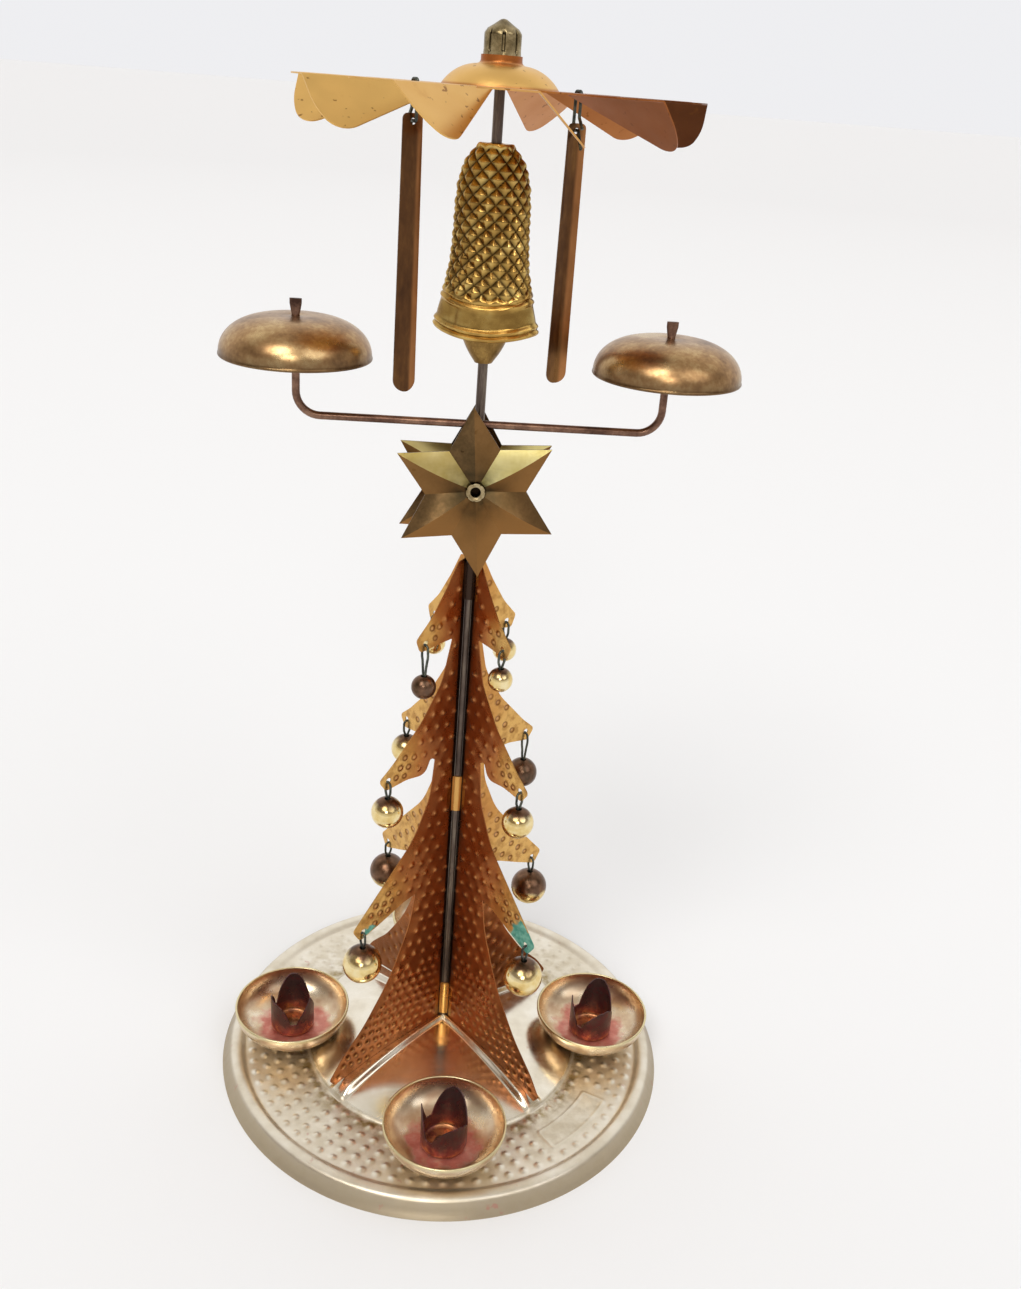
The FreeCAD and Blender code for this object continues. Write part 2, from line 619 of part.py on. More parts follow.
# ---------------------------------------------------------------------- star
def star_plate(facing, turn):
    """Pressed star; facing is -1 for the front plate and 1 for the back."""
    def rim(k):
        radius = STAR_TIP_R if k % 2 == 0 else STAR_NOTCH_R
        rise = STAR_TIP_RISE if k % 2 == 0 else STAR_NOTCH_RISE
        return radius, STAR_HUB_Y + rise

    def point(radius, depth, k, inside):
        a = math.radians(90 + turn + 180.0 / STAR_POINTS * k)
        y = facing * (depth - (STAR_SHEET if inside else 0.0))
        return Vec(radius * math.cos(a), y, STAR_Z + radius * math.sin(a))
    count = 2 * STAR_POINTS
    outer_hub = STAR_HUB_Y + STAR_SHEET
    faces = []
    for inside in (False, True):
        for k in range(count):
            hub = point(0, outer_hub, 0, inside)
            here = point(*rim(k), k, inside)
            there = point(*rim(k + 1), k + 1, inside)
            tip = k if k % 2 == 0 else k + 1
            crest = point(STAR_NOTCH_R, STAR_HUB_Y + STAR_RIDGE_RISE, tip, inside)
            notch = there if k % 2 == 0 else here
            end = here if k % 2 == 0 else there
            for triangle in ((hub, crest, notch), (crest, end, notch)):
                faces.append(Part.Face(Part.makePolygon(list(triangle) + [triangle[0]])))
    for k in range(count):
        ring = [point(*rim(k), k, False), point(*rim(k + 1), k + 1, False),
                point(*rim(k + 1), k + 1, True), point(*rim(k), k, True)]
        faces.append(Part.Face(Part.makePolygon(ring + [ring[0]])))
    shell = Part.makeShell(faces)
    shell.sewShape()
    solid = Part.Solid(shell)
    if solid.Volume < 0:
        solid.reverse()
    return solid.cut(across(STAR_RIVET_R + FIT, STAR_TIP_R, 0, STAR_Z))


def star_rivet():
    """Hollow rivet with a flared lip at each end."""
    hub = STAR_HUB_Y + STAR_SHEET
    slope = (STAR_RIDGE_RISE - STAR_SHEET) / STAR_NOTCH_R
    neck = hub + STAR_RIVET_R * slope + SEAT
    lip = hub + STAR_RIVET_HEAD_R * slope + SEAT
    half = [(STAR_RIVET_R, neck), (STAR_RIVET_HEAD_R, lip), (STAR_RIVET_HEAD_R, lip + STAR_RIVET_LIP),
            (STAR_RIVET_R - STAR_RIVET_WALL, neck + STAR_RIVET_LIP)]
    body = revolve(polyline(half + [(r, -y) for r, y in reversed(half)]))
    body.rotate(Vec(0, 0, 0), Vec(1, 0, 0), 90)
    body.translate(Vec(0, 0, STAR_Z))
    return body


# ----------------------------------------------------------- gongs and their arm
def gong_arm():
    """Bent wire with an upright pin at each end, flattened to keep the gong on."""
    straight_top = PIN_TOP_Z - PIN_FLAT_H
    points = [Vec(-ARM_HALF, ARM_Y, straight_top), Vec(-ARM_HALF, ARM_Y, ARM_Z),
              Vec(ARM_HALF, ARM_Y, ARM_Z), Vec(ARM_HALF, ARM_Y, straight_top)]
    pieces = []
    collar_top = GONG_TOP_Z - GONG_SHEET - FIT
    collar_r = ARM_R + PIN_COLLAR_STEP
    flat_half = ARM_R + PIN_FLAT_WIDER
    for x in (-ARM_HALF, ARM_HALF):
        paddle = Part.makeBox(2 * flat_half, PIN_FLAT_T, PIN_FLAT_H,
                              Vec(x - flat_half, ARM_Y - PIN_FLAT_T / 2, straight_top))
        crown_r = flat_half + PIN_CROWN
        crown = across(crown_r, PIN_FLAT_T, x, PIN_TOP_Z - crown_r, ARM_Y)
        pieces.append(paddle.common(crown))
        pieces.append(cylinder(collar_r, collar_top - PIN_COLLAR_H, collar_top, x, ARM_Y))
    return bent_wire(points, ARM_BEND_R, ARM_R).multiFuse(pieces)


def gong(x):
    """Shallow bell with a rolled lip, turning freely on its pin."""
    def bell(radius, height):
        dome = bowl_solid(radius, radius * GONG_FLAT, 0, height)
        flipped = dome.mirror(Vec(0, 0, 0), UP)
        flipped.translate(Vec(0, 0, GONG_RIM_Z + height))
        return flipped
    outer = bell(GONG_R, GONG_H)
    inner = bell(GONG_R - GONG_SHEET, GONG_H - GONG_SHEET)
    lip = Part.makeTorus(GONG_R - GONG_LIP_R + GONG_LIP_OUT, GONG_LIP_R, Vec(0, 0, GONG_RIM_Z))
    body = outer.cut(inner).fuse(lip).cut(cylinder(GONG_HOLE_R, GONG_RIM_Z, GONG_TOP_Z + OVER))
    body.translate(Vec(x, ARM_Y, 0))
    return body


# ---------------------------------------------------------------------- bell
def bell_half(facing):
    """Half of the hollow bell; facing is -1 for the front."""
    low = BELL_SECTIONS[0]
    high = BELL_SECTIONS[-1]
    floor = (low[0] - BELL_LIP_CUT, low[1], low[2])
    roof = (high[0] - BELL_SHEET, high[1], high[2])
    outer = ellipse_loft(BELL_SECTIONS)
    inner = ellipse_loft((floor,) + BELL_SECTIONS[1:-1] + (roof,), BELL_SHEET)
    span = 4 * low[1]
    mouth = across(BELL_MOUTH_CURVE_R, span, 0, BELL_MOUTH_CURVE_R)
    shell = outer.cut(inner).common(mouth)
    near = BELL_SEAM if facing > 0 else -span - BELL_SEAM
    half = Part.makeBox(2 * span, span, 2 * span, Vec(-span, near, low[0]))
    shell = shell.common(half).cut(cylinder(BORE, 0, high[0] + OVER))
    shell.rotate(Vec(0, 0, 0), UP, BELL_TURN)
    shell.translate(UP * BELL_MOUTH_Z)
    return shell


def bell_clapper():
    """Bead on the spindle in the bell's mouth."""
    low = CLAPPER_SECTIONS[-1][0] - OVER
    high = CLAPPER_SECTIONS[0][0] + OVER
    body = ellipse_loft(CLAPPER_SECTIONS).cut(cylinder(BORE, low, high))
    body.translate(UP * BELL_MOUTH_Z)
    return body


# ----------------------------------------------------------------- fan wheel
def rim_corner(first, second):
    """Point outside the fan's edge where the tangents at two azimuths meet."""
    half = math.radians(second - first) / 2
    return polar(FAN_R / math.cos(half), (first + second) / 2)


def blade(index):
    """Flat arm from one slit to its fold, with the flap beyond the fold bent down."""
    slit = SLIT_AZ + BLADE_DEG * index
    previous = slit - BLADE_DEG
    fold = slit - FOLD_SPAN_DEG
    root = polar(SLIT_START_R, slit)
    tip = polar(FAN_R, fold)

    def flat(u, v):
        return Vec(u, v, FAN_Z + FAN_SHEET / 2)
    start = polar(SLIT_START_R, previous)
    corner = polar(FAN_R, previous)
    bow = rim_corner(previous, fold)
    arm = plate([
        (0, 0, 0), (start.x, start.y, 0), (corner.x, corner.y, ARM_CORNER_R),
        (bow.x, bow.y, ARM_EDGE_R), (tip.x, tip.y, 0), (root.x, root.y, 0)], flat, UP, FAN_SHEET)
    along = (tip - root).normalize()
    side = UP.cross(along)
    bend = math.radians(FLAP_BEND_DEG)
    down = side * math.cos(bend) - UP * math.sin(bend)

    def hang(u, w):
        return flat(root.x, root.y) + along * u + down * w
    outline = [(0, -FLAP_ROOT, 0)]
    for point, radius in ((polar(FAN_R, slit), FLAP_CORNER_R), (rim_corner(fold, slit), FLAP_EDGE_R)):
        reach = point - root
        outline.append((reach.dot(along), reach.dot(side), radius))
    outline.append(((tip - root).Length, -FLAP_ROOT, 0))
    return arm.fuse(plate(outline, hang, along.cross(down), FAN_SHEET))


def dome_profile(inset):
    """Dome and neck as edges from the rim to the neck's top, in the XZ plane."""
    low = FAN_Z + FAN_SHEET - inset
    crown = low + DOME_H
    neck_r = CAP_R + FIT + FAN_SHEET - inset
    flare = NECK_FLARE
    rim = Vec(DOME_R - inset, 0, low)
    swell_r = (DOME_R + neck_r + flare - inset) / 2 + DOME_SWELL
    swell = Vec(swell_r, 0, low + DOME_H * DOME_SWELL_AT)
    waist = Vec(neck_r + flare, 0, crown)
    lift = flare * (1 - math.sin(math.pi / 4))
    curl = Vec(neck_r + lift, 0, crown + lift)
    bend = Vec(neck_r, 0, crown + flare)
    top = Vec(neck_r, 0, crown + NECK_H + inset)
    edges = [Part.Arc(rim, swell, waist).toShape(), Part.Arc(waist, curl, bend).toShape(),
             Part.makeLine(bend, top)]
    return rim, top, edges


def dome_solid(inset):
    """Dome and neck filled down to below the sheet."""
    rim, top, curves = dome_profile(inset)
    floor = FAN_Z - inset
    return revolve([
        Part.makeLine(Vec(0, 0, floor), Vec(rim.x, 0, floor)),
        Part.makeLine(Vec(rim.x, 0, floor), rim), *curves,
        Part.makeLine(top, Vec(0, 0, top.z)), Part.makeLine(Vec(0, 0, top.z), Vec(0, 0, floor))])


def fan_wheel():
    wheel = blade(0).multiFuse([blade(k) for k in range(1, BLADE_COUNT)])
    wheel = wheel.cut(cylinder(DOME_R - DOME_SEAM, FAN_Z - OVER, FAN_Z + OVER))
    wheel = wheel.fuse(dome_solid(0.0).cut(dome_solid(FAN_SHEET)))
    holes = []
    for azimuth in STRIKER_AZ.values():
        for side in (-WIRE_HALF, WIRE_HALF):
            spot = polar(STRIKER_R, azimuth) + around(azimuth) * side
            holes.append(cylinder(WIRE_HOLE_R, FAN_Z - OVER, FAN_Z + OVER, spot.x, spot.y))
    return wheel.cut(holes)


def pivot_cap():
    """Slit cap whose inside cone rests on the needle."""
    shoulder = CAP_TOP_Z - CAP_CONE_H
    outer = revolve(polyline([
        (0, CAP_BOTTOM_Z), (CAP_R, CAP_BOTTOM_Z), (CAP_R, shoulder),
        (CAP_R * CAP_SHOULDER_SHARE, shoulder + CAP_SHOULDER_H),
        (CAP_NOSE_R, CAP_TOP_Z - CAP_NOSE_H), (0, CAP_TOP_Z)]))
    inner = revolve(polyline([
        (0, CAP_BOTTOM_Z - OVER), (CAP_R - CAP_WALL, CAP_BOTTOM_Z - OVER),
        (CAP_R - CAP_WALL, shoulder - CAP_INNER_DROP), (NEEDLE_TIP_R, NEEDLE_TIP_Z + SEAT),
        (0, NEEDLE_TIP_Z + SEAT)]))
    body = outer.cut(inner)
    slit_low = CAP_BOTTOM_Z + CAP_SINK + CAP_SLIT_START
    inside_r = CAP_R - CAP_WALL - OVER
    slits = []
    for k in range(CAP_SLITS):
        slit = Part.makeBox(
            CAP_R, CAP_SLIT_W, shoulder - slit_low, Vec(inside_r, -CAP_SLIT_W / 2, slit_low))
        slit.rotate(Vec(0, 0, 0), UP, 360.0 / CAP_SLITS * k)
        slits.append(slit)
    return body.cut(slits)


# ------------------------------------------------------------------ strikers
def striker(azimuth):
    """Creased strip hanging edge-on to the gongs."""
    axis = polar(STRIKER_R, azimuth)
    out = outward(azimuth)
    side = around(azimuth)
    wide = STRIKER_W / 2
    narrow = STRIKER_TOP_W / 2
    half = wide + STRIKER_SIDE
    ridge = STRIKER_CREASE / 2
    section = [(-half, -ridge), (0, ridge), (half, -ridge), (half, -ridge - STRIKER_SHEET),
               (0, ridge - STRIKER_SHEET), (-half, -ridge - STRIKER_SHEET)]
    ring = [axis + out * u + side * v + UP * STRIKER_END_Z for u, v in section]
    length = STRIKER_TOP_Z - STRIKER_END_Z
    channel = Part.Face(Part.makePolygon(ring + [ring[0]])).extrude(UP * length)
    end_r = wide - STRIKER_END_FLAT
    outline = [(-narrow, STRIKER_TOP_Z, STRIKER_TOP_CORNER_R), (narrow, STRIKER_TOP_Z, STRIKER_TOP_CORNER_R),
               (wide, STRIKER_END_Z, end_r), (-wide, STRIKER_END_Z, end_r)]
    mask = plate(outline, lambda u, v: axis + out * u + UP * v, side, STRIKER_W)
    eye = Part.makeCylinder(STRIKER_HOLE_R, STRIKER_W,
                            axis + UP * (STRIKER_TOP_Z - STRIKER_EYE) - side * wide, side)
    return channel.common(mask).cut(eye)


def striker_wire(azimuth):
    """Hairpin through two fan holes and the strip's eye, its ends splayed."""
    axis = polar(STRIKER_R, azimuth)
    side = around(azimuth)
    crest = FAN_Z + FAN_SHEET + WIRE_R + SEAT
    eye = STRIKER_TOP_Z - STRIKER_EYE - STRIKER_HOLE_R + 2 * WIRE_R

    def at(offset, z):
        return axis + side * offset + UP * z
    low_side, low_drop = WIRE_LOW_END
    high_side, high_rise = WIRE_HIGH_END
    points = [
        at(-low_side, eye - low_drop), at(-WIRE_HALF, eye), at(WIRE_HALF, eye),
        at(WIRE_HALF, crest), at(-WIRE_HALF, crest), at(-WIRE_HALF, eye + WIRE_HIGH_BEND),
        at(-high_side, eye + high_rise)]
    return bent_wire(points, WIRE_R + WIRE_BEND, WIRE_R)


# --------------------------------------------------------------------- build
def main():
    os.makedirs("parts", exist_ok=True)
    save("base_plate", base_plate())
    save("base_nut", base_nut())
    rivets = []
    for name, azimuth in QUARTERS:
        seat = polar(DISH_PITCH_R, azimuth)
        dish = candle_dish()
        dish.translate(seat)
        save("candle_dish_" + name, dish)
        socket = candle_socket(PETAL_AZ[name])
        socket.translate(seat)
        save("candle_socket_" + name, socket)
        rivets.append(dish_rivet(seat.x, seat.y))
    save("dish_rivets", Part.makeCompound(rivets))
    save("center_rod", center_rod())
    save("tree_front", tree_sheet(TREE_FRONT_AZ))
    save("tree_back", tree_sheet(TREE_BACK_AZ))
    for place_name, azimuth in PANELS:
        for tier, hole_r, hole_z in TIERS:
            where = (place_name, azimuth, tier, hole_r, hole_z)
            save("ball_" + place_name + "_" + tier, ball(*where))
            save("hook_" + place_name + "_" + tier, hook(*where))
    save("star_front", star_plate(-1, STAR_FRONT_TURN))
    save("star_back", star_plate(1, STAR_BACK_TURN))
    save("star_rivet", star_rivet())
    save("gong_arm", gong_arm())
    save("gong_left", gong(-ARM_HALF))
    save("gong_right", gong(ARM_HALF))
    save("bell_front", bell_half(-1))
    save("bell_back", bell_half(1))
    save("bell_clapper", bell_clapper())
    save("fan_wheel", fan_wheel())
    save("pivot_cap", pivot_cap())
    for name, azimuth in STRIKER_AZ.items():
        save("striker_" + name, striker(azimuth))
        save("striker_wire_" + name, striker_wire(azimuth))


main()
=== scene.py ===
import math
from random import Random

import bpy
import numpy as np
from mathutils import Matrix, Vector
from mathutils.geometry import delaunay_2d_cdt


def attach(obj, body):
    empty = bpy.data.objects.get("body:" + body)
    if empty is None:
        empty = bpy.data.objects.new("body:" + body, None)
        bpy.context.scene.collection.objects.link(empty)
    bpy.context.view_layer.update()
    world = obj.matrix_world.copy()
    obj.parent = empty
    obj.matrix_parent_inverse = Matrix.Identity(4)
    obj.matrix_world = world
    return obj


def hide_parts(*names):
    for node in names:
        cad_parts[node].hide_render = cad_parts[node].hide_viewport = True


# Angel chime carousel. Sizes are in millimetres, as in the part, and become metres in a mesh.
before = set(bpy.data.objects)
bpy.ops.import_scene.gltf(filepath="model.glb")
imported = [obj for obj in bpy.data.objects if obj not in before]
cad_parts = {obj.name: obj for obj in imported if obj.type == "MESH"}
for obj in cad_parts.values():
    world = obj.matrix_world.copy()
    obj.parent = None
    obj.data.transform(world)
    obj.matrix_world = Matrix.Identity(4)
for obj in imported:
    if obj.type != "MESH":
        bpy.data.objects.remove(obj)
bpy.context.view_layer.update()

MM = 0.001
TAU = 2 * math.pi
FIT = 0.05

# base
BORE = 1.3
MOUND_R = 42.5
FLOOR_R = 61.8
FLOOR_Z = 4.2
BASE_SHEET = 0.45
MOUND_Z = (4.7, 11.2)       # the mound's height at its edge and in its middle
CREST_Z = (6.6, 12.7)       # the same for its ridges
RIDGE_TURN = 41.0
RIDGE_HALF = 1.3
RIDGE_SPREAD = 2.1          # what a ridge's half width gains by its end
RIDGE_LENGTH = 44.5
RIM = (                     # over the rim and down the skirt
    (62.1, 4.28), (62.5, 4.5), (62.9, 4.78), (63.3, 5.02), (63.8, 5.16), (64.4, 5.2), (65.4, 5.17),
    (66.0, 5.0), (66.45, 4.66), (66.75, 4.2), (67.5, 2.5), (68.3, 1.0), (68.9, 0.22), (69.0, 0.0),
)
RIM_UNDER = ((68.55, 0.0), (68.3, 0.3), (66.3, 4.2), (65.6, 4.7), (63.0, 4.72), (62.0, 3.8))
SEAT_H = 2.0
SEAT_R = (5.2, 7.0)
TURNS = 720                 # points round the base
DOT_ROWS = ((45.2, 64), (48.9, 68), (52.7, 72), (56.3, 76), (59.8, 80))
DOT_R = 1.45
DOT_H = 0.42
PLATE_AZ = (-55.6, -30.4)   # blank framed field on the flat ring
PLATE_R = (50.0, 56.8)
PLATE_LINE_H = 0.2
QUARTERS = (("front", 270.0), ("right", 0.0), ("back", 90.0), ("left", 180.0))

# dishes and sockets
DISH_PITCH_R = 47.7
DISH_R = 17.66
DISH_FLAT_R = 7.0
DISH_Z = 6.2
DISH_RIM_Z = 14.7
DISH_SHEET = 0.4
DISH_BEAD_R = 0.35
RIVET_BORE = 1.6
SOCKET_MID_R = 6.525
SOCKET_SHEET = 0.35
SOCKET_Z = 6.6
SOCKET_CUP_H = 5.0
SOCKET_CORNER_R = 1.375
PETAL_TOP = 15.8
PETALS = {                  # azimuth, height, half width at the cup, tip sharpness, lean inward
    "front": ((60, 15.7, 62, 2.0, 0.5), (180, 14.6, 38, 0.9, -0.3), (300, 10.6, 64, 2.2, 0.5)),
    "right": ((60, 15.8, 58, 2.0, 0.2), (180, 13.4, 40, 0.9, -0.2), (300, 11.0, 62, 2.0, 0.8)),
    "back": ((60, 15.0, 50, 1.5, 0.4), (180, 13.8, 46, 1.2, 0.2), (300, 14.6, 54, 1.8, 0.5)),
    "left": ((90, 15.8, 54, 2.4, 1.3), (210, 11.6, 60, 3.2, -0.1), (330, 13.4, 42, 0.9, -0.4)),
}

# tree
TREE_SHEET = 0.3
SLOT_R = 1.5
TREE_TOP_Z = 168.0
PANELS = (
    ("front_left", 219.0, 1), ("front_right", 310.5, -1),
    ("back_right", 37.0, 1), ("back_left", 127.0, -1),
)
TIERS = (("top", 14.4, 146.0), ("middle", 25.4, 107.2), ("bottom", 32.7, 59.4))
BRANCH_GLOW = ((6.0, 7.0), (9.5, 9.0), (13.0, 15.0))
HOLE_R = 0.85
BANDS = ((13.4, 25.3), (89.0, 100.5), (156.0, 166.5))
PANEL_EDGE = (
    (4.2, 167.3, 0.5), (8.0, 160.2, 20.0), (12.8, 152.6, 20.0), (17.6, 147.4, 1.3),
    (16.2, 143.6, 1.2), (9.5, 144.7, 6.0), (5.0, 145.2, 0.4), (7.9, 132.4, 14.0),
    (14.5, 121.8, 22.0), (24.0, 111.6, 20.0), (28.6, 107.6, 1.3), (26.2, 104.2, 1.4),
    (19.0, 105.3, 8.0), (12.6, 104.8, 3.0), (10.6, 109.6, 0.7), (9.0, 108.4, 0.4),
    (10.2, 96.0, 20.0), (15.6, 83.7, 26.0), (27.0, 71.0, 40.0), (36.3, 60.6, 1.4),
    (33.8, 56.6, 1.4), (26.0, 59.9, 20.0), (18.6, 63.3, 8.0), (13.9, 64.6, 0.5),
    (15.6, 54.0, 40.0), (22.3, 37.2, 60.0), (31.6, 23.4, 40.0), (39.5, 15.2, 20.0),
    (43.6, 9.3, 0.8), (41.9, 7.0, 0),
)
LATTICE = {"front": ((3.85, 0.5), (2.06, -3.8)), "back": ((3.2, 2.75), (3.2, -2.75))}
DENSE_LATTICE = ((2.9, 0.4), (1.45, -2.75))
LATTICE_START = (4.0, 90.0)
DENSE_FOOT_Z = 38
DIMPLE_R = 1.35
DIMPLE_H = 0.38
DIMPLE_RINGS = ((0.35, 7), (0.7, 10), (1.0, 12))
DIMPLE_TO_EDGE = 1.15
DIMPLE_TO_HOLE = 1.5
GREEN_SPOTS = {"front_right": (32.4, 61.2, 5.6), "front_left": (30.3, 58.2, 2.4)}

# balls and hooks
BALL_R = {"top": 3.4, "middle": 4.5, "bottom": 5.7}
BALL_WALL = 0.4
BALL_MOUTH_R = 0.95
LONG_HOOKS = ("front_left_top", "back_right_middle")
HOOK_DROP = 5.6
HOOK_LONG_DROP = 9.6
HOOK_WIRE_R = 0.35
HOOK_HALF = 1.1
HOOK_NECK = 0.39
DARK_BALLS = {
    "front_left_top": 1.0, "back_right_middle": 1.0, "back_left_bottom": 0.6, "back_right_bottom": 0.42,
}

# star, arm, gongs, bell
STAR_Z = 186.6
STAR_TIP_R = 22.8
STAR_NOTCH_R = 13.1
STAR_SHEET = 0.35
STAR_HUB_R = 1.7
STAR_HUB_Y = 1.35
STAR_NOTCH_Y = 3.15
STAR_RIDGE_Y = 5.2
STAR_TIP_Y = 4.25
STAR_TURN = {"front": 4.4, "back": 1.0}
# painted reflection of each of the star's twelve facet pairs, from none to bright yellow
STAR_PAINTED_SHEEN = (0.0, 0.8, 0.2, 0.0, 0.32, 0.25, 0.32, 0.34, 0.05, 0.28, 1.0, 0.15)
ARM_Y = -2.27
ARM_Z = 204.6
ARM_HALF = 46.2
ARM_R = 1.0
ARM_BEND_R = 6.0
COLLAR = ((0.98, -0.9), (1.6, -0.9), (1.9, -0.7), (1.9, -0.2), (1.6, 0.0), (0.98, 0.0))
PIN_TOP_Z = 233.0
GONG_R = 18.7
GONG_RIM_Z = 219.4
GONG_H = 9.6
GONG_SHEET = 0.5
GONG_FULL = 0.9
GONG_CROWN = 0.22           # the flat crown's share of the radius
BELL_Z = 226.0
BELL_SECTIONS = (
    (-3.0, 14.0, 6.9), (1.5, 13.7, 6.8), (5.5, 13.0, 6.4), (11.0, 11.5, 5.9),
    (17.0, 10.2, 5.5), (24.0, 9.6, 5.3), (31.0, 9.4, 5.2), (36.5, 8.8, 4.9),
    (41.0, 7.2, 4.2), (44.6, 4.2, 3.0),
)
BELL_MOUTH_R = 45.0
BELL_SHEET = 0.4
BELL_SEAM = 0.15
BELL_GROOVE = 0.75
BELL_DIAMOND_W = 3.6
BELL_DIAMOND_H = 3.7
BELL_TURN = -18.0
CLAPPER_SECTIONS = ((-6.2, 2.2, 2.0), (-3.2, 4.2, 3.4), (0.0, 5.6, 4.4), (2.6, 5.9, 4.6))

# fan, cap, strikers
FAN_Z = 282.3
FAN_SHEET = 0.35
FAN_R = 47.4
BLADES = 10
SLIT_AZ = 9.4
SLIT_START_R = 16.6
FOLD_SPAN = 20.6            # degrees of the rim that each flap takes
FLAP_BEND = 44.3
FOLD_R = 0.7
HUB_SHEET_R = 13.2
# painted reflection of each blade, from gold (0) to dark brown (1)
BLADE_PAINTED_REFLECTION = (0.85, 0.52, 0.4, 0.3, 0.15, 0.0, 0.0, 0.05, 0.18, 0.66)
DOME_R = 13.6
DOME_H = 4.7
DOME_FLARE = 0.9
DOME_SWELL = 0.8
DOME_NECK = 1.9
CAP_R = 4.35
CAP_Z = 287.3
CAP_TOP_Z = 296.7
CAP_SLITS = 8
CAP_SLIT_DEPTH = 0.42
STRIKER_R = 21.5
STRIKER_AZ = {"left": 206.5, "right": 26.5}
STRIKER_TOP_Z = 276.1
STRIKER_END_Z = 213.6
STRIKER_W = 5.8
STRIKER_TOP_W = 4.9
STRIKER_CREASE = 0.9
STRIKER_SHEET = 0.35
WIRE_R = 0.4
WIRE_HALF = 1.15
EYE_R = 0.7
EYE_DROP = 1.7

# camera, as fitted to the photo
CAMERA_AT = (-14.94, -308.96, 283.42)
CAMERA_FORWARD = Vector((0.0802, 0.9070, -0.4135))
CAMERA_RIGHT = Vector((0.9959, -0.0558, 0.0709))
SENSOR_H = 36.0
PHOTO_H_PX = 1289
FOCAL_PX = 1229.68

# floor, lights and room
FLOOR_GLOW = 0.04           # lifts the paper to near white where it is seen
FLOOR_HALF = 30.0           # metres
FLOOR_NEAR = (0.835, 0.85, 0.872)
FLOOR_FAR = (0.77, 0.78, 0.8)
SUNS = (                    # azimuth, elevation, strength, size, colour
    ("key", 240, 52, 1.05, 30, (1.0, 0.98, 0.95)),
    ("side", 315, 44, 0.55, 40, (0.97, 0.98, 1.0)),
    ("low_front", 265, 30, 0.5, 16, (1.0, 0.98, 0.94)),
)
WALL = (                    # the white wall behind, from the horizon to the zenith
    (0.0, (0.86, 0.86, 0.88)), (0.5, (1.0, 0.99, 0.98)), (0.8, (0.98, 0.96, 0.93)),
    (0.92, (0.75, 0.72, 0.68)), (1.0, (0.62, 0.59, 0.55)),
)
ROOM = (                    # the dimmer, warm room in front
    (0.0, (0.80, 0.79, 0.79)), (0.22, (0.62, 0.58, 0.55)), (0.34, (0.24, 0.20, 0.17)),
    (0.6, (0.3, 0.26, 0.23)), (0.86, (0.42, 0.39, 0.36)), (1.0, (0.62, 0.59, 0.55)),
)
WALL_BLEND = (-0.15, 0.4)


# ------------------------------------------------------------------ geometry
def polar(radius, azimuth, z=0.0):
    a = math.radians(azimuth)
    return Vector((radius * math.cos(a), radius * math.sin(a), z))


def around(azimuth):
    return polar(1.0, azimuth + 90.0)


def circle(count):
    """Angles all the way round."""
    return np.arange(count) * TAU / count


def ring_row(r, angles, z, x=0.0, y=0.0):
    """One row of points round an upright axis."""
    return np.stack([r * np.cos(angles) + x, r * np.sin(angles) + y, z + 0 * angles], axis=-1)


def smooth(value, low, high):
    t = np.clip((value - low) / (high - low), 0.0, 1.0)
    return t * t * (3 - 2 * t)


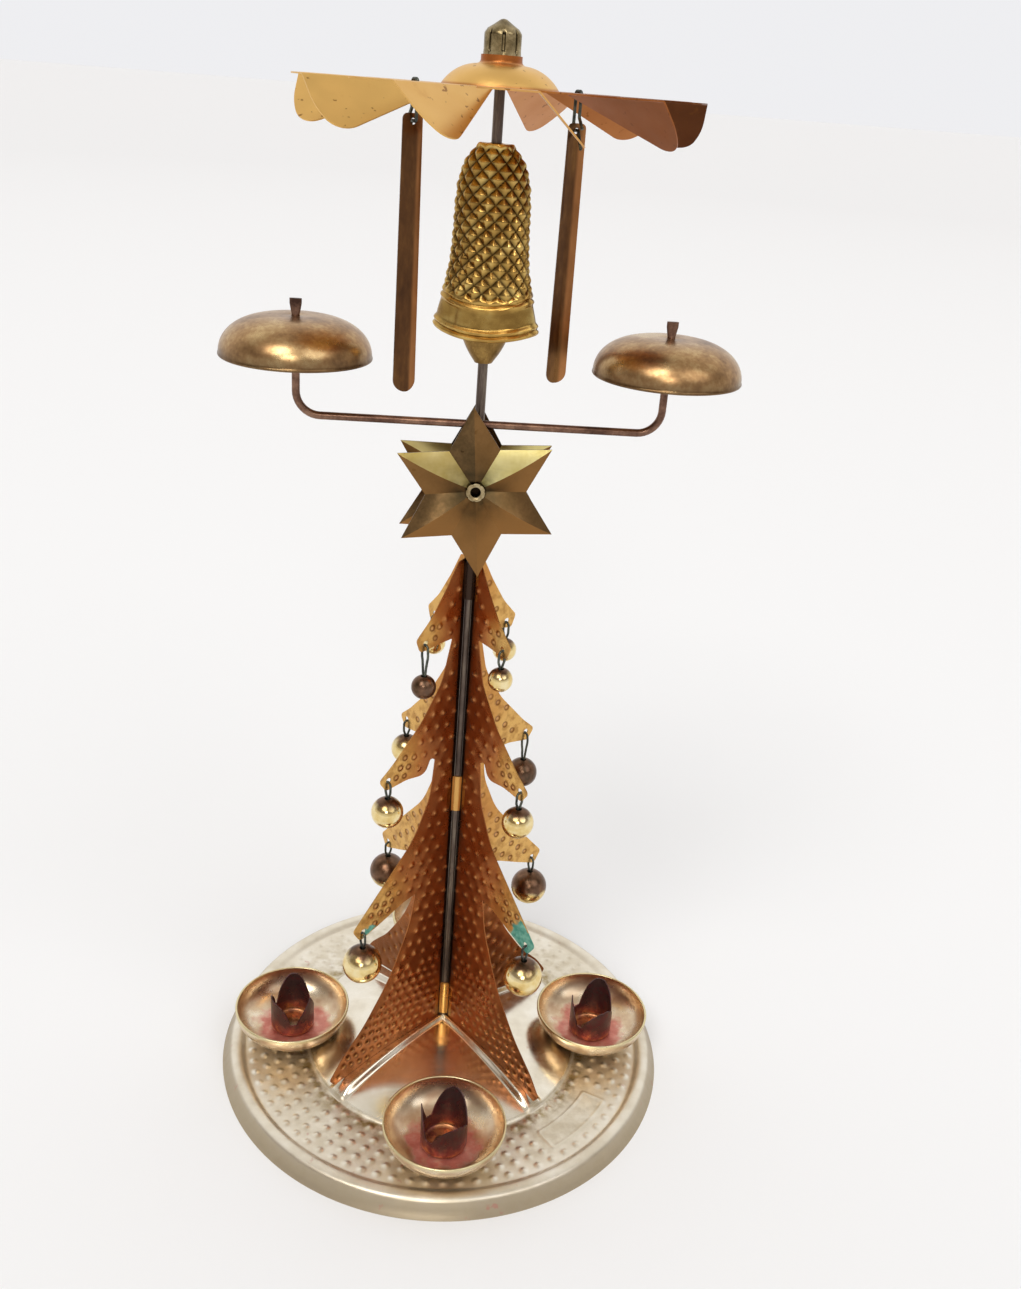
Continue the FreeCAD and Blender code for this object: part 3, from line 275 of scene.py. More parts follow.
class Shell:
    """Points, faces and one value per point, gathered for a mesh."""

    def __init__(self):
        self.points = []
        self.faces = []
        self.values = []

    def add(self, points, faces, values=None):
        start = len(self.points)
        self.points.extend(tuple(p) for p in points)
        self.faces.extend(tuple(start + i for i in face) for face in faces)
        self.values.extend(values if values is not None else [0.0] * len(points))

    def grid(self, rows, wrap_rows=False, wrap_cols=False, values=None):
        """Faces over rows of points."""
        rows = np.asarray(rows, dtype=float)
        n, m = rows.shape[:2]
        i, j = np.meshgrid(
            np.arange(n if wrap_rows else n - 1), np.arange(m if wrap_cols else m - 1), indexing="ij")
        a = i * m + j
        b = i * m + (j + 1) % m
        c = (i + 1) % n * m + (j + 1) % m
        d = (i + 1) % n * m + j
        faces = np.stack([a, b, c, d], axis=-1).reshape(-1, 4).tolist()
        self.add(rows.reshape(-1, 3).tolist(), faces, None if values is None else list(np.ravel(values)))

    def sheet(self, rows, thickness, wrap=False, values=None):
        """Closed sheet about a middle surface; wrap closes the columns."""
        rows = np.asarray(rows, dtype=float)
        along = np.gradient(rows, axis=0)
        if wrap:
            across = (np.roll(rows, -1, axis=1) - np.roll(rows, 1, axis=1)) / 2
        else:
            across = np.gradient(rows, axis=1)
        normal = np.cross(across, along)
        normal /= np.maximum(np.linalg.norm(normal, axis=2, keepdims=True), 1e-9)
        n, m = rows.shape[:2]
        front = rows + normal * thickness / 2
        back = rows - normal * thickness / 2
        if wrap:
            loop = np.concatenate([front, back[::-1]], axis=0)
            tone = None if values is None else np.concatenate([values, np.asarray(values)[::-1]], axis=0)
            self.grid(loop, wrap_rows=True, wrap_cols=True, values=tone)
            return
        start = len(self.points)
        self.grid(front, values=values)
        first_back = len(self.points)
        faces_before = len(self.faces)
        self.grid(back, values=values)
        self.faces[faces_before:] = [f[::-1] for f in self.faces[faces_before:]]
        rim = [(0, j) for j in range(m - 1)] + [(i, m - 1) for i in range(n - 1)]
        rim += [(n - 1, j) for j in range(m - 1, 0, -1)] + [(i, 0) for i in range(n - 1, 0, -1)]
        index = [i * m + j for i, j in rim]
        for k, a in enumerate(index):
            b = index[(k + 1) % len(index)]
            self.faces.append((start + b, start + a, first_back + a, first_back + b))

    def lathe(self, profile, segments, centre=(0, 0, 0), wobble=None, values=None):
        """Closed ring of (r, z) points turned about Z."""
        angles = circle(segments)
        r = np.array([p[0] for p in profile])[:, None]
        z = np.array([p[1] for p in profile])[:, None]
        scale = 1.0 if wobble is None else wobble(angles)[None, :]
        rows = np.stack([
            r * scale * np.cos(angles) + centre[0], r * scale * np.sin(angles) + centre[1],
            z + 0 * angles + centre[2]], axis=-1)
        tone = None if values is None else np.repeat(np.array(values)[:, None], segments, axis=1)
        self.grid(rows, wrap_rows=True, wrap_cols=True, values=tone)

    def tube(self, path, radius, segments=12, flat=None):
        """Round wire along a path with closed ends; flat gives (a, b) factors per point."""
        path = [Vector(p) for p in path]
        heading = (path[1] - path[0]).normalized()
        side = heading.orthogonal().normalized()
        if flat is not None:
            side = Vector((1, 0, 0))
            side = (side - heading * side.dot(heading)).normalized()
        rows = []
        for k, point in enumerate(path):
            ahead = path[min(k + 1, len(path) - 1)] - path[max(k - 1, 0)]
            turn = heading.rotation_difference(ahead)
            side.rotate(turn)
            heading = ahead.normalized()
            other = heading.cross(side)
            a, b = (1.0, 1.0) if flat is None else flat[k]
            rows.append([
                point + side * (radius * a * math.cos(t)) + other * (radius * b * math.sin(t))
                for t in circle(segments)])
        start = len(self.points)
        self.grid([[tuple(p) for p in row] for row in rows], wrap_cols=True)
        self.faces.append(tuple(start + i for i in range(segments)))
        last = start + (len(path) - 1) * segments
        self.faces.append(tuple(last + i for i in reversed(range(segments))))


def arc_path(points, bend, steps=8):
    """Path through points with each inner corner rounded."""
    points = [Vector(p) for p in points]
    path = [points[0]]
    for k in range(1, len(points) - 1):
        here = points[k]
        back = (points[k - 1] - here).normalized()
        ahead = (points[k + 1] - here).normalized()
        half = back.angle(ahead) / 2
        reach = bend / math.tan(half)
        middle = here + (back + ahead).normalized() * (bend / math.sin(half))
        start = here + back * reach - middle
        end = here + ahead * reach - middle
        spread = start.angle(end)
        for s in range(steps + 1):
            t = s / steps
            arm = start * math.sin((1 - t) * spread) + end * math.sin(t * spread)
            path.append(middle + arm / math.sin(spread))
    path.append(points[-1])
    return path


def arc_through(a, b, c, count):
    """Points on the circle through three flat points, from a to c."""
    a, b, c = Vector(a), Vector(b), Vector(c)
    p, q = b - a, c - a
    cross = 2 * (p.x * q.y - p.y * q.x)
    middle = a + Vector((q.y * p.dot(p) - p.y * q.dot(q), p.x * q.dot(q) - q.x * p.dot(p))) / cross
    start = a - middle
    sweep = -start.angle_signed(c - middle)
    arms = []
    for t in np.linspace(0, sweep, count):
        arm = start.copy()
        arm.rotate(Matrix.Rotation(float(t), 2))
        arms.append(tuple(middle + arm))
    return arms


def fill_path(path, step):
    """The same path with points added on its long runs."""
    full = [path[0]]
    for a, b in zip(path, path[1:]):
        count = max(1, int((b - a).length / step))
        full.extend(a.lerp(b, (k + 1) / count) for k in range(count))
    return full


def rounded(corners, step=0.5):
    """Outline through (u, v, radius) corners as points."""
    outline = []
    for k, (u, v, radius) in enumerate(corners):
        here = Vector((u, v))
        if radius <= 0:
            outline.append((u, v))
            continue
        back = (Vector(corners[k - 1][:2]) - here).normalized()
        ahead = (Vector(corners[(k + 1) % len(corners)][:2]) - here).normalized()
        half = back.angle(ahead) / 2
        reach = radius / math.tan(half)
        middle = here + (back + ahead).normalized() * (radius / math.sin(half))
        start = here + back * reach - middle
        sweep = start.angle_signed(here + ahead * reach - middle)
        count = max(3, int(abs(sweep) * radius / step))
        for s in range(count + 1):
            arm = start.copy()
            arm.rotate(Matrix.Rotation(-sweep * s / count, 2))
            outline.append(tuple(middle + arm))
    return outline


def inside(points, outline):
    """Which points lie in a closed outline, and how far each is from it."""
    points = np.asarray(points, dtype=float)
    ring = np.asarray(outline, dtype=float)
    after = np.roll(ring, -1, axis=0)
    x, y = points[:, :1], points[:, 1:]
    cross = (ring[:, 1] > y) != (after[:, 1] > y)
    rise = after[:, 1] - ring[:, 1]
    rise = np.where(rise == 0, 1e-12, rise)
    hit = x < (after[:, 0] - ring[:, 0]) * (y - ring[:, 1]) / rise + ring[:, 0]
    within = (cross & hit).sum(axis=1) % 2 == 1
    edge = after - ring
    length = np.maximum((edge ** 2).sum(axis=1), 1e-12)
    t = np.clip(((x - ring[:, 0]) * edge[:, 0] + (y - ring[:, 1]) * edge[:, 1]) / length, 0, 1)
    gap = np.hypot(x - ring[:, 0] - t * edge[:, 0], y - ring[:, 1] - t * edge[:, 1])
    return within, gap.min(axis=1)


def pressed(shell, outline, holes, extra, height, place, thickness, tone=None):
    """Sheet cut to an outline, with extra points inside it, pressed by height(u, v)."""
    loops = [outline] + holes
    coords = []
    edges = []
    for loop in loops:
        first = len(coords)
        coords.extend(Vector(p) for p in loop)
        edges.extend((first + k, first + (k + 1) % len(loop)) for k in range(len(loop)))
    coords.extend(Vector(p) for p in extra)
    flat, _, triangles, _, _, _ = delaunay_2d_cdt(coords, edges, [], 0, 1e-6)
    flat = np.array([tuple(p) for p in flat])
    corners = np.array([list(t) for t in triangles])
    middles = flat[corners].mean(axis=1)
    keep, _ = inside(middles, outline)
    for loop in holes:
        keep &= ~inside(middles, loop)[0]
    corners = corners[keep]
    raised = height(flat[:, 0], flat[:, 1])
    values = list(raised if tone is None else tone(flat[:, 0], flat[:, 1]))
    top = [place(u, v, h + thickness / 2) for (u, v), h in zip(flat, raised)]
    bottom = [place(u, v, h - thickness / 2) for (u, v), h in zip(flat, raised)]
    count = len(flat)
    faces = [tuple(c) for c in corners] + [tuple(c[::-1] + count) for c in corners]
    used = {}
    for a, b, c in corners:
        for edge in ((a, b), (b, c), (c, a)):
            used[edge] = True
    for a, b in used:
        if (b, a) not in used:
            faces.append((b, a, a + count, b + count))
    wanted = sorted({i for face in faces for i in face})
    renumber = {old: new for new, old in enumerate(wanted)}
    every = top + bottom
    both = values + values
    shell.add([every[i] for i in wanted], [tuple(renumber[i] for i in f) for f in faces],
              [both[i] for i in wanted])


def spline(table, column, at):
    """Smooth value of a table's column at heights, through its rows."""
    z = np.array([row[0] for row in table])
    v = np.array([row[column] for row in table])
    slope = np.gradient(v, z)
    at = np.clip(at, z[0], z[-1])
    k = np.clip(np.searchsorted(z, at) - 1, 0, len(z) - 2)
    h = z[k + 1] - z[k]
    t = (at - z[k]) / h
    return ((2 * t ** 3 - 3 * t ** 2 + 1) * v[k] + (t ** 3 - 2 * t ** 2 + t) * h * slope[k]
            + (-2 * t ** 3 + 3 * t ** 2) * v[k + 1] + (t ** 3 - t ** 2) * h * slope[k + 1])


def add_values(made, name, values, domain="POINT"):
    """One number per point or face, for the materials to read."""
    attribute = made.data.attributes.new(name, "FLOAT", domain)
    attribute.data.foreach_set("value", np.array(values, dtype=np.float32).ravel())


def piece(name, shell, material, body, nodes, crease=35.0):
    """Object made from a shell, riding on a body in place of CAD nodes."""
    mesh = bpy.data.meshes.new(name)
    mesh.from_pydata([(x * MM, y * MM, z * MM) for x, y, z in shell.points], [], shell.faces)
    mesh.validate()
    mesh.update()
    made = bpy.data.objects.new(name, mesh)
    add_values(made, "tone", shell.values)
    mesh.shade_smooth()
    mesh.set_sharp_from_angle(angle=math.radians(crease))
    mesh.materials.append(material)
    bpy.context.scene.collection.objects.link(made)
    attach(made, body)
    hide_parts(*nodes)
    return made


# ----------------------------------------------------------------- materials
def srgb(text):
    """Linear colour from a six-figure hex string."""
    parts = [int(text[k:k + 2], 16) / 255 for k in (0, 2, 4)]
    return tuple(c / 12.92 if c <= 0.04045 else ((c + 0.055) / 1.055) ** 2.4 for c in parts) + (1.0,)


def rgba(value):
    """Colour from a hex string, from one grey number or from three numbers."""
    if isinstance(value, str):
        return srgb(value)
    if isinstance(value, float):
        return (value, value, value, 1)
    return tuple(value) + (1,)


def add_ramp(tree, factor, stops):
    """Colours or numbers at places from 0 to 1."""
    node = tree.nodes.new("ShaderNodeValToRGB")
    tree.links.new(factor, node.inputs[0])
    while len(node.color_ramp.elements) < len(stops):
        node.color_ramp.elements.new(1.0)
    for element, (place, value) in zip(node.color_ramp.elements, stops):
        element.position = place
        element.color = rgba(value)
    return node.outputs[0]


class Shader:
    """Node tree of one material, in object coordinates in millimetres."""

    def __init__(self, name, metallic=1.0):
        self.material = bpy.data.materials.new(name)
        self.material.use_nodes = True
        self.tree = self.material.node_tree
        self.body = self.tree.nodes["Principled BSDF"]
        self.body.inputs["Metallic"].default_value = metallic
        self.where = self.tree.nodes.new("ShaderNodeTexCoord").outputs["Object"]

    def link(self, value, socket):
        if isinstance(value, bpy.types.NodeSocket):
            self.tree.links.new(value, socket)
        else:
            socket.default_value = srgb(value) if isinstance(value, str) else value

    def math(self, operation, a, b=0.0, clamp=False):
        node = self.tree.nodes.new("ShaderNodeMath")
        node.operation = operation
        node.use_clamp = clamp
        self.link(a, node.inputs[0])
        self.link(b, node.inputs[1])
        return node.outputs[0]

    def times(self, a, b, clamp=False):
        return self.math("MULTIPLY", a, b, clamp)

    def ragged(self, value, cloud, amount):
        """A value with noise added to it, for uneven borders."""
        return self.math("ADD", value, self.times(self.math("SUBTRACT", cloud, 0.5), amount))

    def noise(self, scale, detail=3.0, stretch=(1, 1, 1), rough=0.55, shift=0.0):
        """Noise with a feature about scale millimetres wide."""
        spread = self.tree.nodes.new("ShaderNodeMapping")
        self.link(self.where, spread.inputs["Vector"])
        spread.inputs["Scale"].default_value = [s * 1000.0 / scale for s in stretch]
        spread.inputs["Location"].default_value = (shift, shift, shift)
        node = self.tree.nodes.new("ShaderNodeTexNoise")
        self.link(spread.outputs[0], node.inputs["Vector"])
        node.inputs["Scale"].default_value = 1.0
        node.inputs["Detail"].default_value = detail
        node.inputs["Roughness"].default_value = rough
        return node.outputs["Fac"]

    def ramp(self, factor, stops):
        return add_ramp(self.tree, factor, stops)

    def mix(self, factor, a, b):
        node = self.tree.nodes.new("ShaderNodeMix")
        node.data_type = "RGBA"
        self.link(factor, node.inputs[0])
        self.link(a, node.inputs[6])
        self.link(b, node.inputs[7])
        return node.outputs[2]

    def value(self, name="tone"):
        node = self.tree.nodes.new("ShaderNodeAttribute")
        node.attribute_name = name
        return node.outputs["Fac"]

    def radius(self):
        """Distance from the spindle's axis in millimetres."""
        node = self.tree.nodes.new("ShaderNodeVectorMath")
        node.operation = "MULTIPLY"
        self.link(self.where, node.inputs[0])
        node.inputs[1].default_value = (1000.0, 1000.0, 0.0)
        size = self.tree.nodes.new("ShaderNodeVectorMath")
        size.operation = "LENGTH"
        self.link(node.outputs[0], size.inputs[0])
        return size.outputs["Value"]

    def bump(self, height, distance, strength=1.0):
        node = self.tree.nodes.new("ShaderNodeBump")
        node.inputs["Distance"].default_value = distance * MM
        node.inputs["Strength"].default_value = strength
        self.link(height, node.inputs["Height"])
        previous = self.body.inputs["Normal"]
        if previous.is_linked:
            self.link(previous.links[0].from_socket, node.inputs["Normal"])
        self.link(node.outputs[0], previous)

    def finish(self, colour, roughness, metallic=None):
        self.link(colour, self.body.inputs["Base Color"])
        self.link(roughness, self.body.inputs["Roughness"])
        if metallic is not None:
            self.link(metallic, self.body.inputs["Metallic"])
        return self.material


def aged(name, colours, rough, grain=6.0, stretch=(1, 1, 1), dent=0.05, spot=None, shift=0.0):
    """Metal with clouded colour, uneven gloss, faint dents and optional dark spots."""
    s = Shader(name)
    cloud = s.noise(grain, 5.0, stretch, shift=shift)
    fine = s.noise(grain / 9, 3.0, stretch, shift=shift + 3)
    mixed = s.math("ADD", s.times(cloud, 0.75), s.times(fine, 0.25))
    stops = [(0.34 + 0.3 * k / (len(colours) - 1), c) for k, c in enumerate(colours)]
    colour = s.ramp(mixed, stops)
    gloss = s.ramp(mixed, [(0.3, rough[1]), (0.7, rough[0])])
    if spot:
        tint, size, share = spot
        speck = s.noise(size, 2.0, rough=0.4, shift=shift + 7)
        colour = s.mix(s.ramp(speck, [(share, 0.0), (share + 0.04, 1.0)]), colour, tint)
    s.bump(s.noise(grain * 1.5, 2.0, stretch, shift=shift + 11), dent)
    s.bump(s.noise(grain / 14, 2.0, stretch, shift=shift + 17), dent * 0.12)
    return s, colour, gloss


def simple(name, *args, **kwargs):
    s, colour, gloss = aged(name, *args, **kwargs)
    return s.finish(colour, gloss)


def base_material():
    """Tinplate; the value is 1 on the polished mound, 0 on the ring and -1 on the skirt."""
    s = Shader("tinplate_aged")
    cloud = s.noise(9.0, 5.0)
    tone = s.value()
    stain = s.value("stain")
    plain = s.ramp(cloud, [(0.3, "ded4c0"), (0.52, "ece4d3"), (0.72, "f5efe2")])
    # painted shade: the skirt is painted darker than the top
    skirt = s.times(tone, -1.0, True)
    plain = s.mix(skirt, plain, "b4a68e")
    brown = s.ramp(s.noise(2.2, 4.0), [(0.35, "9c875c"), (0.65, "c0b08c")])
    patchy = s.times(stain, s.ramp(s.noise(3.4, 4.0, shift=5), [(0.36, 0.0), (0.62, 1.0)]), True)
    colour = s.mix(patchy, plain, brown)
    wax = s.ramp(s.noise(5.0, 3.0, shift=31), [(0.68, 0.0), (0.74, 0.5)])
    colour = s.mix(wax, colour, "c07a72")
    scratch = s.noise(14.0, 3.0, (1, 9, 1), shift=2)
    gloss = s.ramp(scratch, [(0.3, 0.44), (0.7, 0.34)])
    polish_and_painted_sheen = s.times(s.math("MAXIMUM", tone, 0.0), 0.2)
    gloss = s.math("SUBTRACT", gloss, polish_and_painted_sheen)
    gloss = s.math("ADD", gloss, s.times(patchy, 0.12))
    s.bump(s.noise(16.0, 2.0), 0.04)
    s.bump(s.noise(0.5, 2.0, shift=9), 0.003)
    return s.finish(colour, gloss)


def dish_material():
    """Satin brass; the value is 1 on the waxed floor and -1 on the rolled edge, which gets a painted
    highlight.
    """
    s = Shader("dish_satin")
    tone = s.value()
    cloud = s.noise(7.0, 4.0, (1, 1, 2))
    metal = s.ramp(cloud, [(0.3, "c3a284"), (0.5, "dcc5a6"), (0.7, "ecdec6")])
    # painted highlight along the rolled edge
    metal = s.mix(s.times(tone, -1.0, True), metal, "ddcfa4")
    wax = s.noise(3.0, 4.0, shift=12)
    wax = s.ramp(wax, [(0.3, "bc4c48"), (0.55, "d67a70"), (0.75, "e2ae9a")])
    ragged = s.ragged(tone, s.noise(4.5, 4.0, shift=4), 1.5)
    film = s.ramp(ragged, [(0.5, 0.0), (0.85, 0.8)])
    colour = s.mix(film, metal, wax)
    gloss = s.mix(film, s.ramp(cloud, [(0.3, 0.34), (0.7, 0.24)]), (0.38, 0.38, 0.38, 1))
    metallic = s.math("SUBTRACT", 1.0, s.times(film, 0.6))
    s.bump(s.noise(9.0, 2.0), 0.04)
    s.bump(s.times(film, s.noise(1.6, 3.0)), 0.08)
    return s.finish(colour, gloss, metallic)


def socket_material():
    """Burnt copper, dark up the petals, with a painted amber reflection low on the cup."""
    s = Shader("socket_oxblood")
    tone = s.value()
    # painted reflection: amber low on the cup; the dark oxblood above is the metal's own colour
    ragged_height = s.ragged(tone, s.noise(3.2, 4.0), 0.9)
    colour = s.ramp(ragged_height, [(0.0, "cc8c5c"), (0.18, "98594a"), (0.38, "6c4642"), (0.9, "5a4341")])
    film = s.ramp(s.noise(2.4, 3.0, shift=8), [(0.5, 0.0), (0.62, 0.6)])
    colour = s.mix(film, colour, "703438")
    gloss = s.ramp(s.noise(2.0, 3.0, shift=3), [(0.3, 0.42), (0.7, 0.24)])
    s.bump(s.noise(2.2, 3.0, shift=6), 0.10)
    return s.finish(colour, gloss, 0.7)


def tree_material():
    """Dimpled copper, golden where the painted light value lit is high, with painted highlights on the dimple
    peaks, painted shade rings on the dimples' flanks over the golden parts and a painted shadow strip beside
    the spindle.
    """
    s = Shader("tree_copper_dimpled")
    tone = s.value()
    lit = s.value("lit")
    cloud = s.noise(8.0, 4.0, shift=1)
    near = s.ragged(lit, cloud, 0.5)
    sheet = s.ramp(near, [(0.0, "85502f"), (0.4, "ad6c3c"), (0.7, "cb9350"), (1.0, "dcae66")])
    golden = s.ramp(near, [(0.5, 0.0), (0.75, 1.0)])
    flat = s.math("LESS_THAN", tone, 1.5)
    golden = s.times(golden, flat)
    mottle = s.ramp(s.noise(2.4, 2.0, shift=51), [(0.45, 0.0), (0.65, 0.5)])
    sheet = s.mix(s.times(mottle, golden), sheet, "8e5a2a")
    # painted shade on the dimples' flanks, over the golden parts
    ring = s.ramp(tone, [(0.06, 0.0), (0.3, 0.85), (0.6, 0.7), (0.92, 0.0)])
    sheet = s.mix(s.times(ring, golden), sheet, "6e401c")
    # painted highlight on each dimple's peak
    peak = s.times(s.ramp(tone, [(0.4, 0.0), (0.95, 0.8)]), flat)
    colour = s.mix(peak, sheet, "d49e66")
    # painted shadow beside the spindle, in the slot between the panels
    strip = s.ramp(s.times(s.radius(), 0.1), [(0.24, 1.0), (0.27, 0.0)])
    strip = s.times(strip, flat)
    colour = s.mix(strip, colour, "3c2e26")
    green = s.value("green")
    ragged = s.ragged(green, s.noise(2.0, 4.0, shift=21), 0.6)
    crust = s.ramp(ragged, [(0.45, 0.0), (0.55, 1.0)])
    teal = s.ramp(s.noise(2.0, 3.0, shift=2), [(0.35, "3f8272"), (0.7, "78b09c")])
    colour = s.mix(crust, colour, teal)
    gloss = s.ramp(s.noise(5.0, 4.0, shift=4), [(0.3, 0.36), (0.7, 0.24)])
    gloss = s.mix(crust, gloss, (0.85, 0.85, 0.85, 1))
    metallic = s.math("SUBTRACT", 1.0, crust)
    s.bump(s.noise(12.0, 2.0, shift=14), 0.12)
    s.bump(s.noise(1.2, 3.0, shift=15), 0.012)
    return s.finish(colour, gloss, metallic)


def bell_material():
    s = Shader("bell_brass_pressed")
    tone = s.value()
    cloud = s.noise(5.0, 4.0)
    metal = s.ramp(cloud, [(0.32, "a07c40"), (0.5, "bd9852"), (0.7, "dcbe74")])
    # painted shade in the grooves and on the sunken band
    deep = s.ramp(tone, [(0.0, 0.0), (0.3, 0.22), (0.85, 0.92)])
    colour = s.mix(deep, metal, "3a2810")
    gloss = s.ramp(s.noise(3.0, 3.0, shift=4), [(0.3, 0.3), (0.7, 0.16)])
    s.bump(s.noise(2.0, 3.0, shift=6), 0.02)
    return s.finish(colour, gloss)


def star_material():
    """Pressed brass with painted reflections: the per-facet sheen value paints some facets brown-gold and the
    brightest ones yellow.
    """
    s, colour, gloss = aged("star_brass", ("4c3c25", "5f4a30", "755a3a"), (0.3, 0.42), 7.0, dent=0.06,
                            spot=("3c2b16", 2.2, 0.7))
    polish_and_painted_sheen = s.value("polish_and_painted_sheen")
    # darker towards the hub, in patches
    hub_darkening = s.times(s.value(), s.ramp(s.noise(3.0, 3.0, shift=43), [(0.3, 0.4), (0.65, 1.0)]))
    facet_highlight_colour = s.ramp(s.noise(6.0, 3.0, shift=41), [(0.3, "cdbb6a"), (0.7, "efe3a2")])
    # painted reflections on the facets: brown-gold first, then bright yellow
    colour = s.mix(s.ramp(polish_and_painted_sheen, [(0.0, 0.0), (0.35, 1.0)]), colour, "90673a")
    colour = s.mix(s.ramp(polish_and_painted_sheen, [(0.4, 0.0), (1.0, 0.95)]), colour, facet_highlight_colour)
    colour = s.mix(hub_darkening, colour, "3a3322")
    return s.finish(colour, gloss)


def rivet_material():
    """Grey brass, with painted shade inside the eyelet where the value is 1."""
    s, colour, gloss = aged("rivet_brass", ("84714e", "a89672", "cbbd98"), (0.24, 0.38), 2.0)
    colour = s.mix(s.value(), colour, "1c130c")
    return s.finish(colour, gloss)


def gong_material():
    """Olive brass bowl, darker towards its lip."""
    s, colour, gloss = aged("gong_brass", ("7e6044", "aa865c", "cdb080"), (0.24, 0.36), 9.0)
    colour = s.mix(s.ramp(s.value(), [(0.0, 0.0), (1.0, 0.7)]), colour, "4c3824")
    return s.finish(colour, gloss)


def striker_material():
    """Dark strip with one half painted as lit, in copper tones."""
    s, colour, gloss = aged("striker_copper", ("4a3222", "5e4028", "7a5632"), (0.26, 0.4), 9.0,
                            (1, 1, 0.35), 0.06)
    # painted light: copper tones on the half toward +x
    painted_lit_half = s.ramp(s.noise(7.0, 3.0, (1, 1, 0.4), shift=23), [(0.3, "7e5230"), (0.7, "b0784a")])
    colour = s.mix(s.times(s.value(), 0.85), colour, painted_lit_half)
    return s.finish(colour, gloss)


def fan_material():
    """Lacquered brass; the value is each blade's painted reflection, from gold to dark brown, and on the dome
    it rises to painted shade at its foot and neck.
    """
    s = Shader("fan_brass_lacquered")
    tone = s.ragged(s.value(), s.noise(14.0, 4.0), 0.12)
    colour = s.ramp(tone, [(0.0, "e6ba6e"), (0.15, "d8a662"), (0.4, "c08450"), (0.6, "a4602e"),
                           (0.75, "84502c"), (0.95, "55341e")])
    speck = s.ramp(s.noise(1.7, 2.0, shift=9, rough=0.4), [(0.68, 0.0), (0.72, 0.7)])
    colour = s.mix(speck, colour, "7d4a20")
    smear = s.ramp(s.noise(5.0, 4.0, shift=19), [(0.62, 0.0), (0.78, 0.25)])
    colour = s.mix(smear, colour, "b8742f")
    gloss = s.ramp(s.noise(6.0, 4.0, shift=2), [(0.3, 0.46), (0.7, 0.34)])
    s.bump(s.noise(22.0, 2.0, shift=5), 0.18)
    s.bump(s.noise(0.6, 2.0, shift=6), 0.004)
    return s.finish(colour, gloss)


def ball_material(name, top_darkening):
    """Gilt that turns dark brown from the top down, as far as its share sets; the value is height on the
    ball.
    """
    s = Shader(name)
    tone = s.value()
    ragged = s.ragged(tone, s.noise(3.0, 4.0), 0.35)
    # how far down from the top the ball turns dark
    start, end = max(0.0, 0.74 - 0.76 * top_darkening), max(0.04, 0.92 - 0.8 * top_darkening)
    dark = s.ramp(ragged, [(start, 0.0), (end, 0.95)])
    gold = s.ramp(s.noise(4.0, 4.0, shift=2), [(0.3, "d8b468"), (0.5, "ecd496"), (0.7, "f7e8bc")])
    brown = s.ramp(s.noise(2.4, 4.0, shift=5), [(0.3, "3a2722"), (0.55, "624236"), (0.75, "84604a")])
    colour = s.mix(dark, gold, brown)
    gloss = s.mix(dark, s.ramp(s.noise(2.0, 3.0), [(0.3, 0.2), (0.7, 0.1)]), (0.3, 0.3, 0.3, 1))
    s.bump(s.noise(3.5, 2.0, shift=8), 0.06)
    return s.finish(colour, gloss)


tin = base_material()
dish_metal = dish_material()
socket_metal = socket_material()
tree_metal = tree_material()
bell_metal = bell_material()
fan_metal = fan_material()
steel = simple("zinc_plate", ("6e6f72", "8d8e90", "a7a8a8"), (0.3, 0.45), 3.0)
rivet_metal = rivet_material()
rod_metal = simple("rod_dark", ("4a3f3a", "5e524a", "7c7062"), (0.3, 0.42), 5.0, (3, 3, 0.4), 0.02)
wire_metal = simple("wire_iron", ("2f3030", "50544e", "6c6e60"), (0.3, 0.5), 1.6, dent=0.03)
arm_metal = simple("arm_bronze", ("46322a", "6e5244", "90705c"), (0.28, 0.4), 6.0, dent=0.02)
star_metal = star_material()
gong_metal = gong_material()
striker_metal = striker_material()
clapper_metal = simple("clapper_brass", ("6a5028", "86683a", "a08048"), (0.22, 0.34), 4.0)


# ---------------------------------------------------------------------- base
def cap_height(r, radius, edge, top):
    rise = top - edge
    sphere = (radius ** 2 + rise ** 2) / (2 * rise)
    return top - sphere + np.sqrt(np.maximum(sphere ** 2 - r ** 2, 0.0))


def ridges(r, theta):
    """Distance along and across each of the mound's four ridges."""
    for k in range(4):
        turn = theta - math.radians(RIDGE_TURN + 90 * k)
        yield r * np.cos(turn), np.abs(r * np.sin(turn))


def on_ridge(r, theta):
    """1 on the flat top of the mound's four ridges."""
    share = 0 * theta
    for along, off in ridges(r, theta):
        half = np.maximum(RIDGE_HALF + RIDGE_SPREAD * along / RIDGE_LENGTH, 0.1)
        share = np.maximum(share, (1 - smooth(off / half, 0.4, 0.8)) * (along > 0))
    return share if r < MOUND_R else 0 * theta


def mound_height(r, theta):
    """The domed middle with its four ridges."""
    mound = cap_height(np.minimum(r, MOUND_R), MOUND_R, *MOUND_Z)
    crest = cap_height(np.minimum(r, MOUND_R), MOUND_R, *CREST_Z)
    form = mound
    for along, off in ridges(r, theta):
        half = RIDGE_HALF + RIDGE_SPREAD * np.clip(along / RIDGE_LENGTH, 0, 1)
        share = 1 - smooth(off / half, 0.58, 1.16)
        share = np.where((along > 0) | (r < 2.0), share, 0.0)
        share = share * (1 - smooth(r, MOUND_R - 5.0, MOUND_R) * 0.8)
        form = np.maximum(form, mound + (crest - mound) * share)
    return form


def from_seats(x, y):
    """Distance to the nearest dish seat."""
    seats = [polar(DISH_PITCH_R, azimuth) for _, azimuth in QUARTERS]
    return np.minimum.reduce([np.hypot(x - seat.x, y - seat.y) for seat in seats])


def azimuth_of(theta):
    return np.degrees((theta + math.pi) % TAU - math.pi)


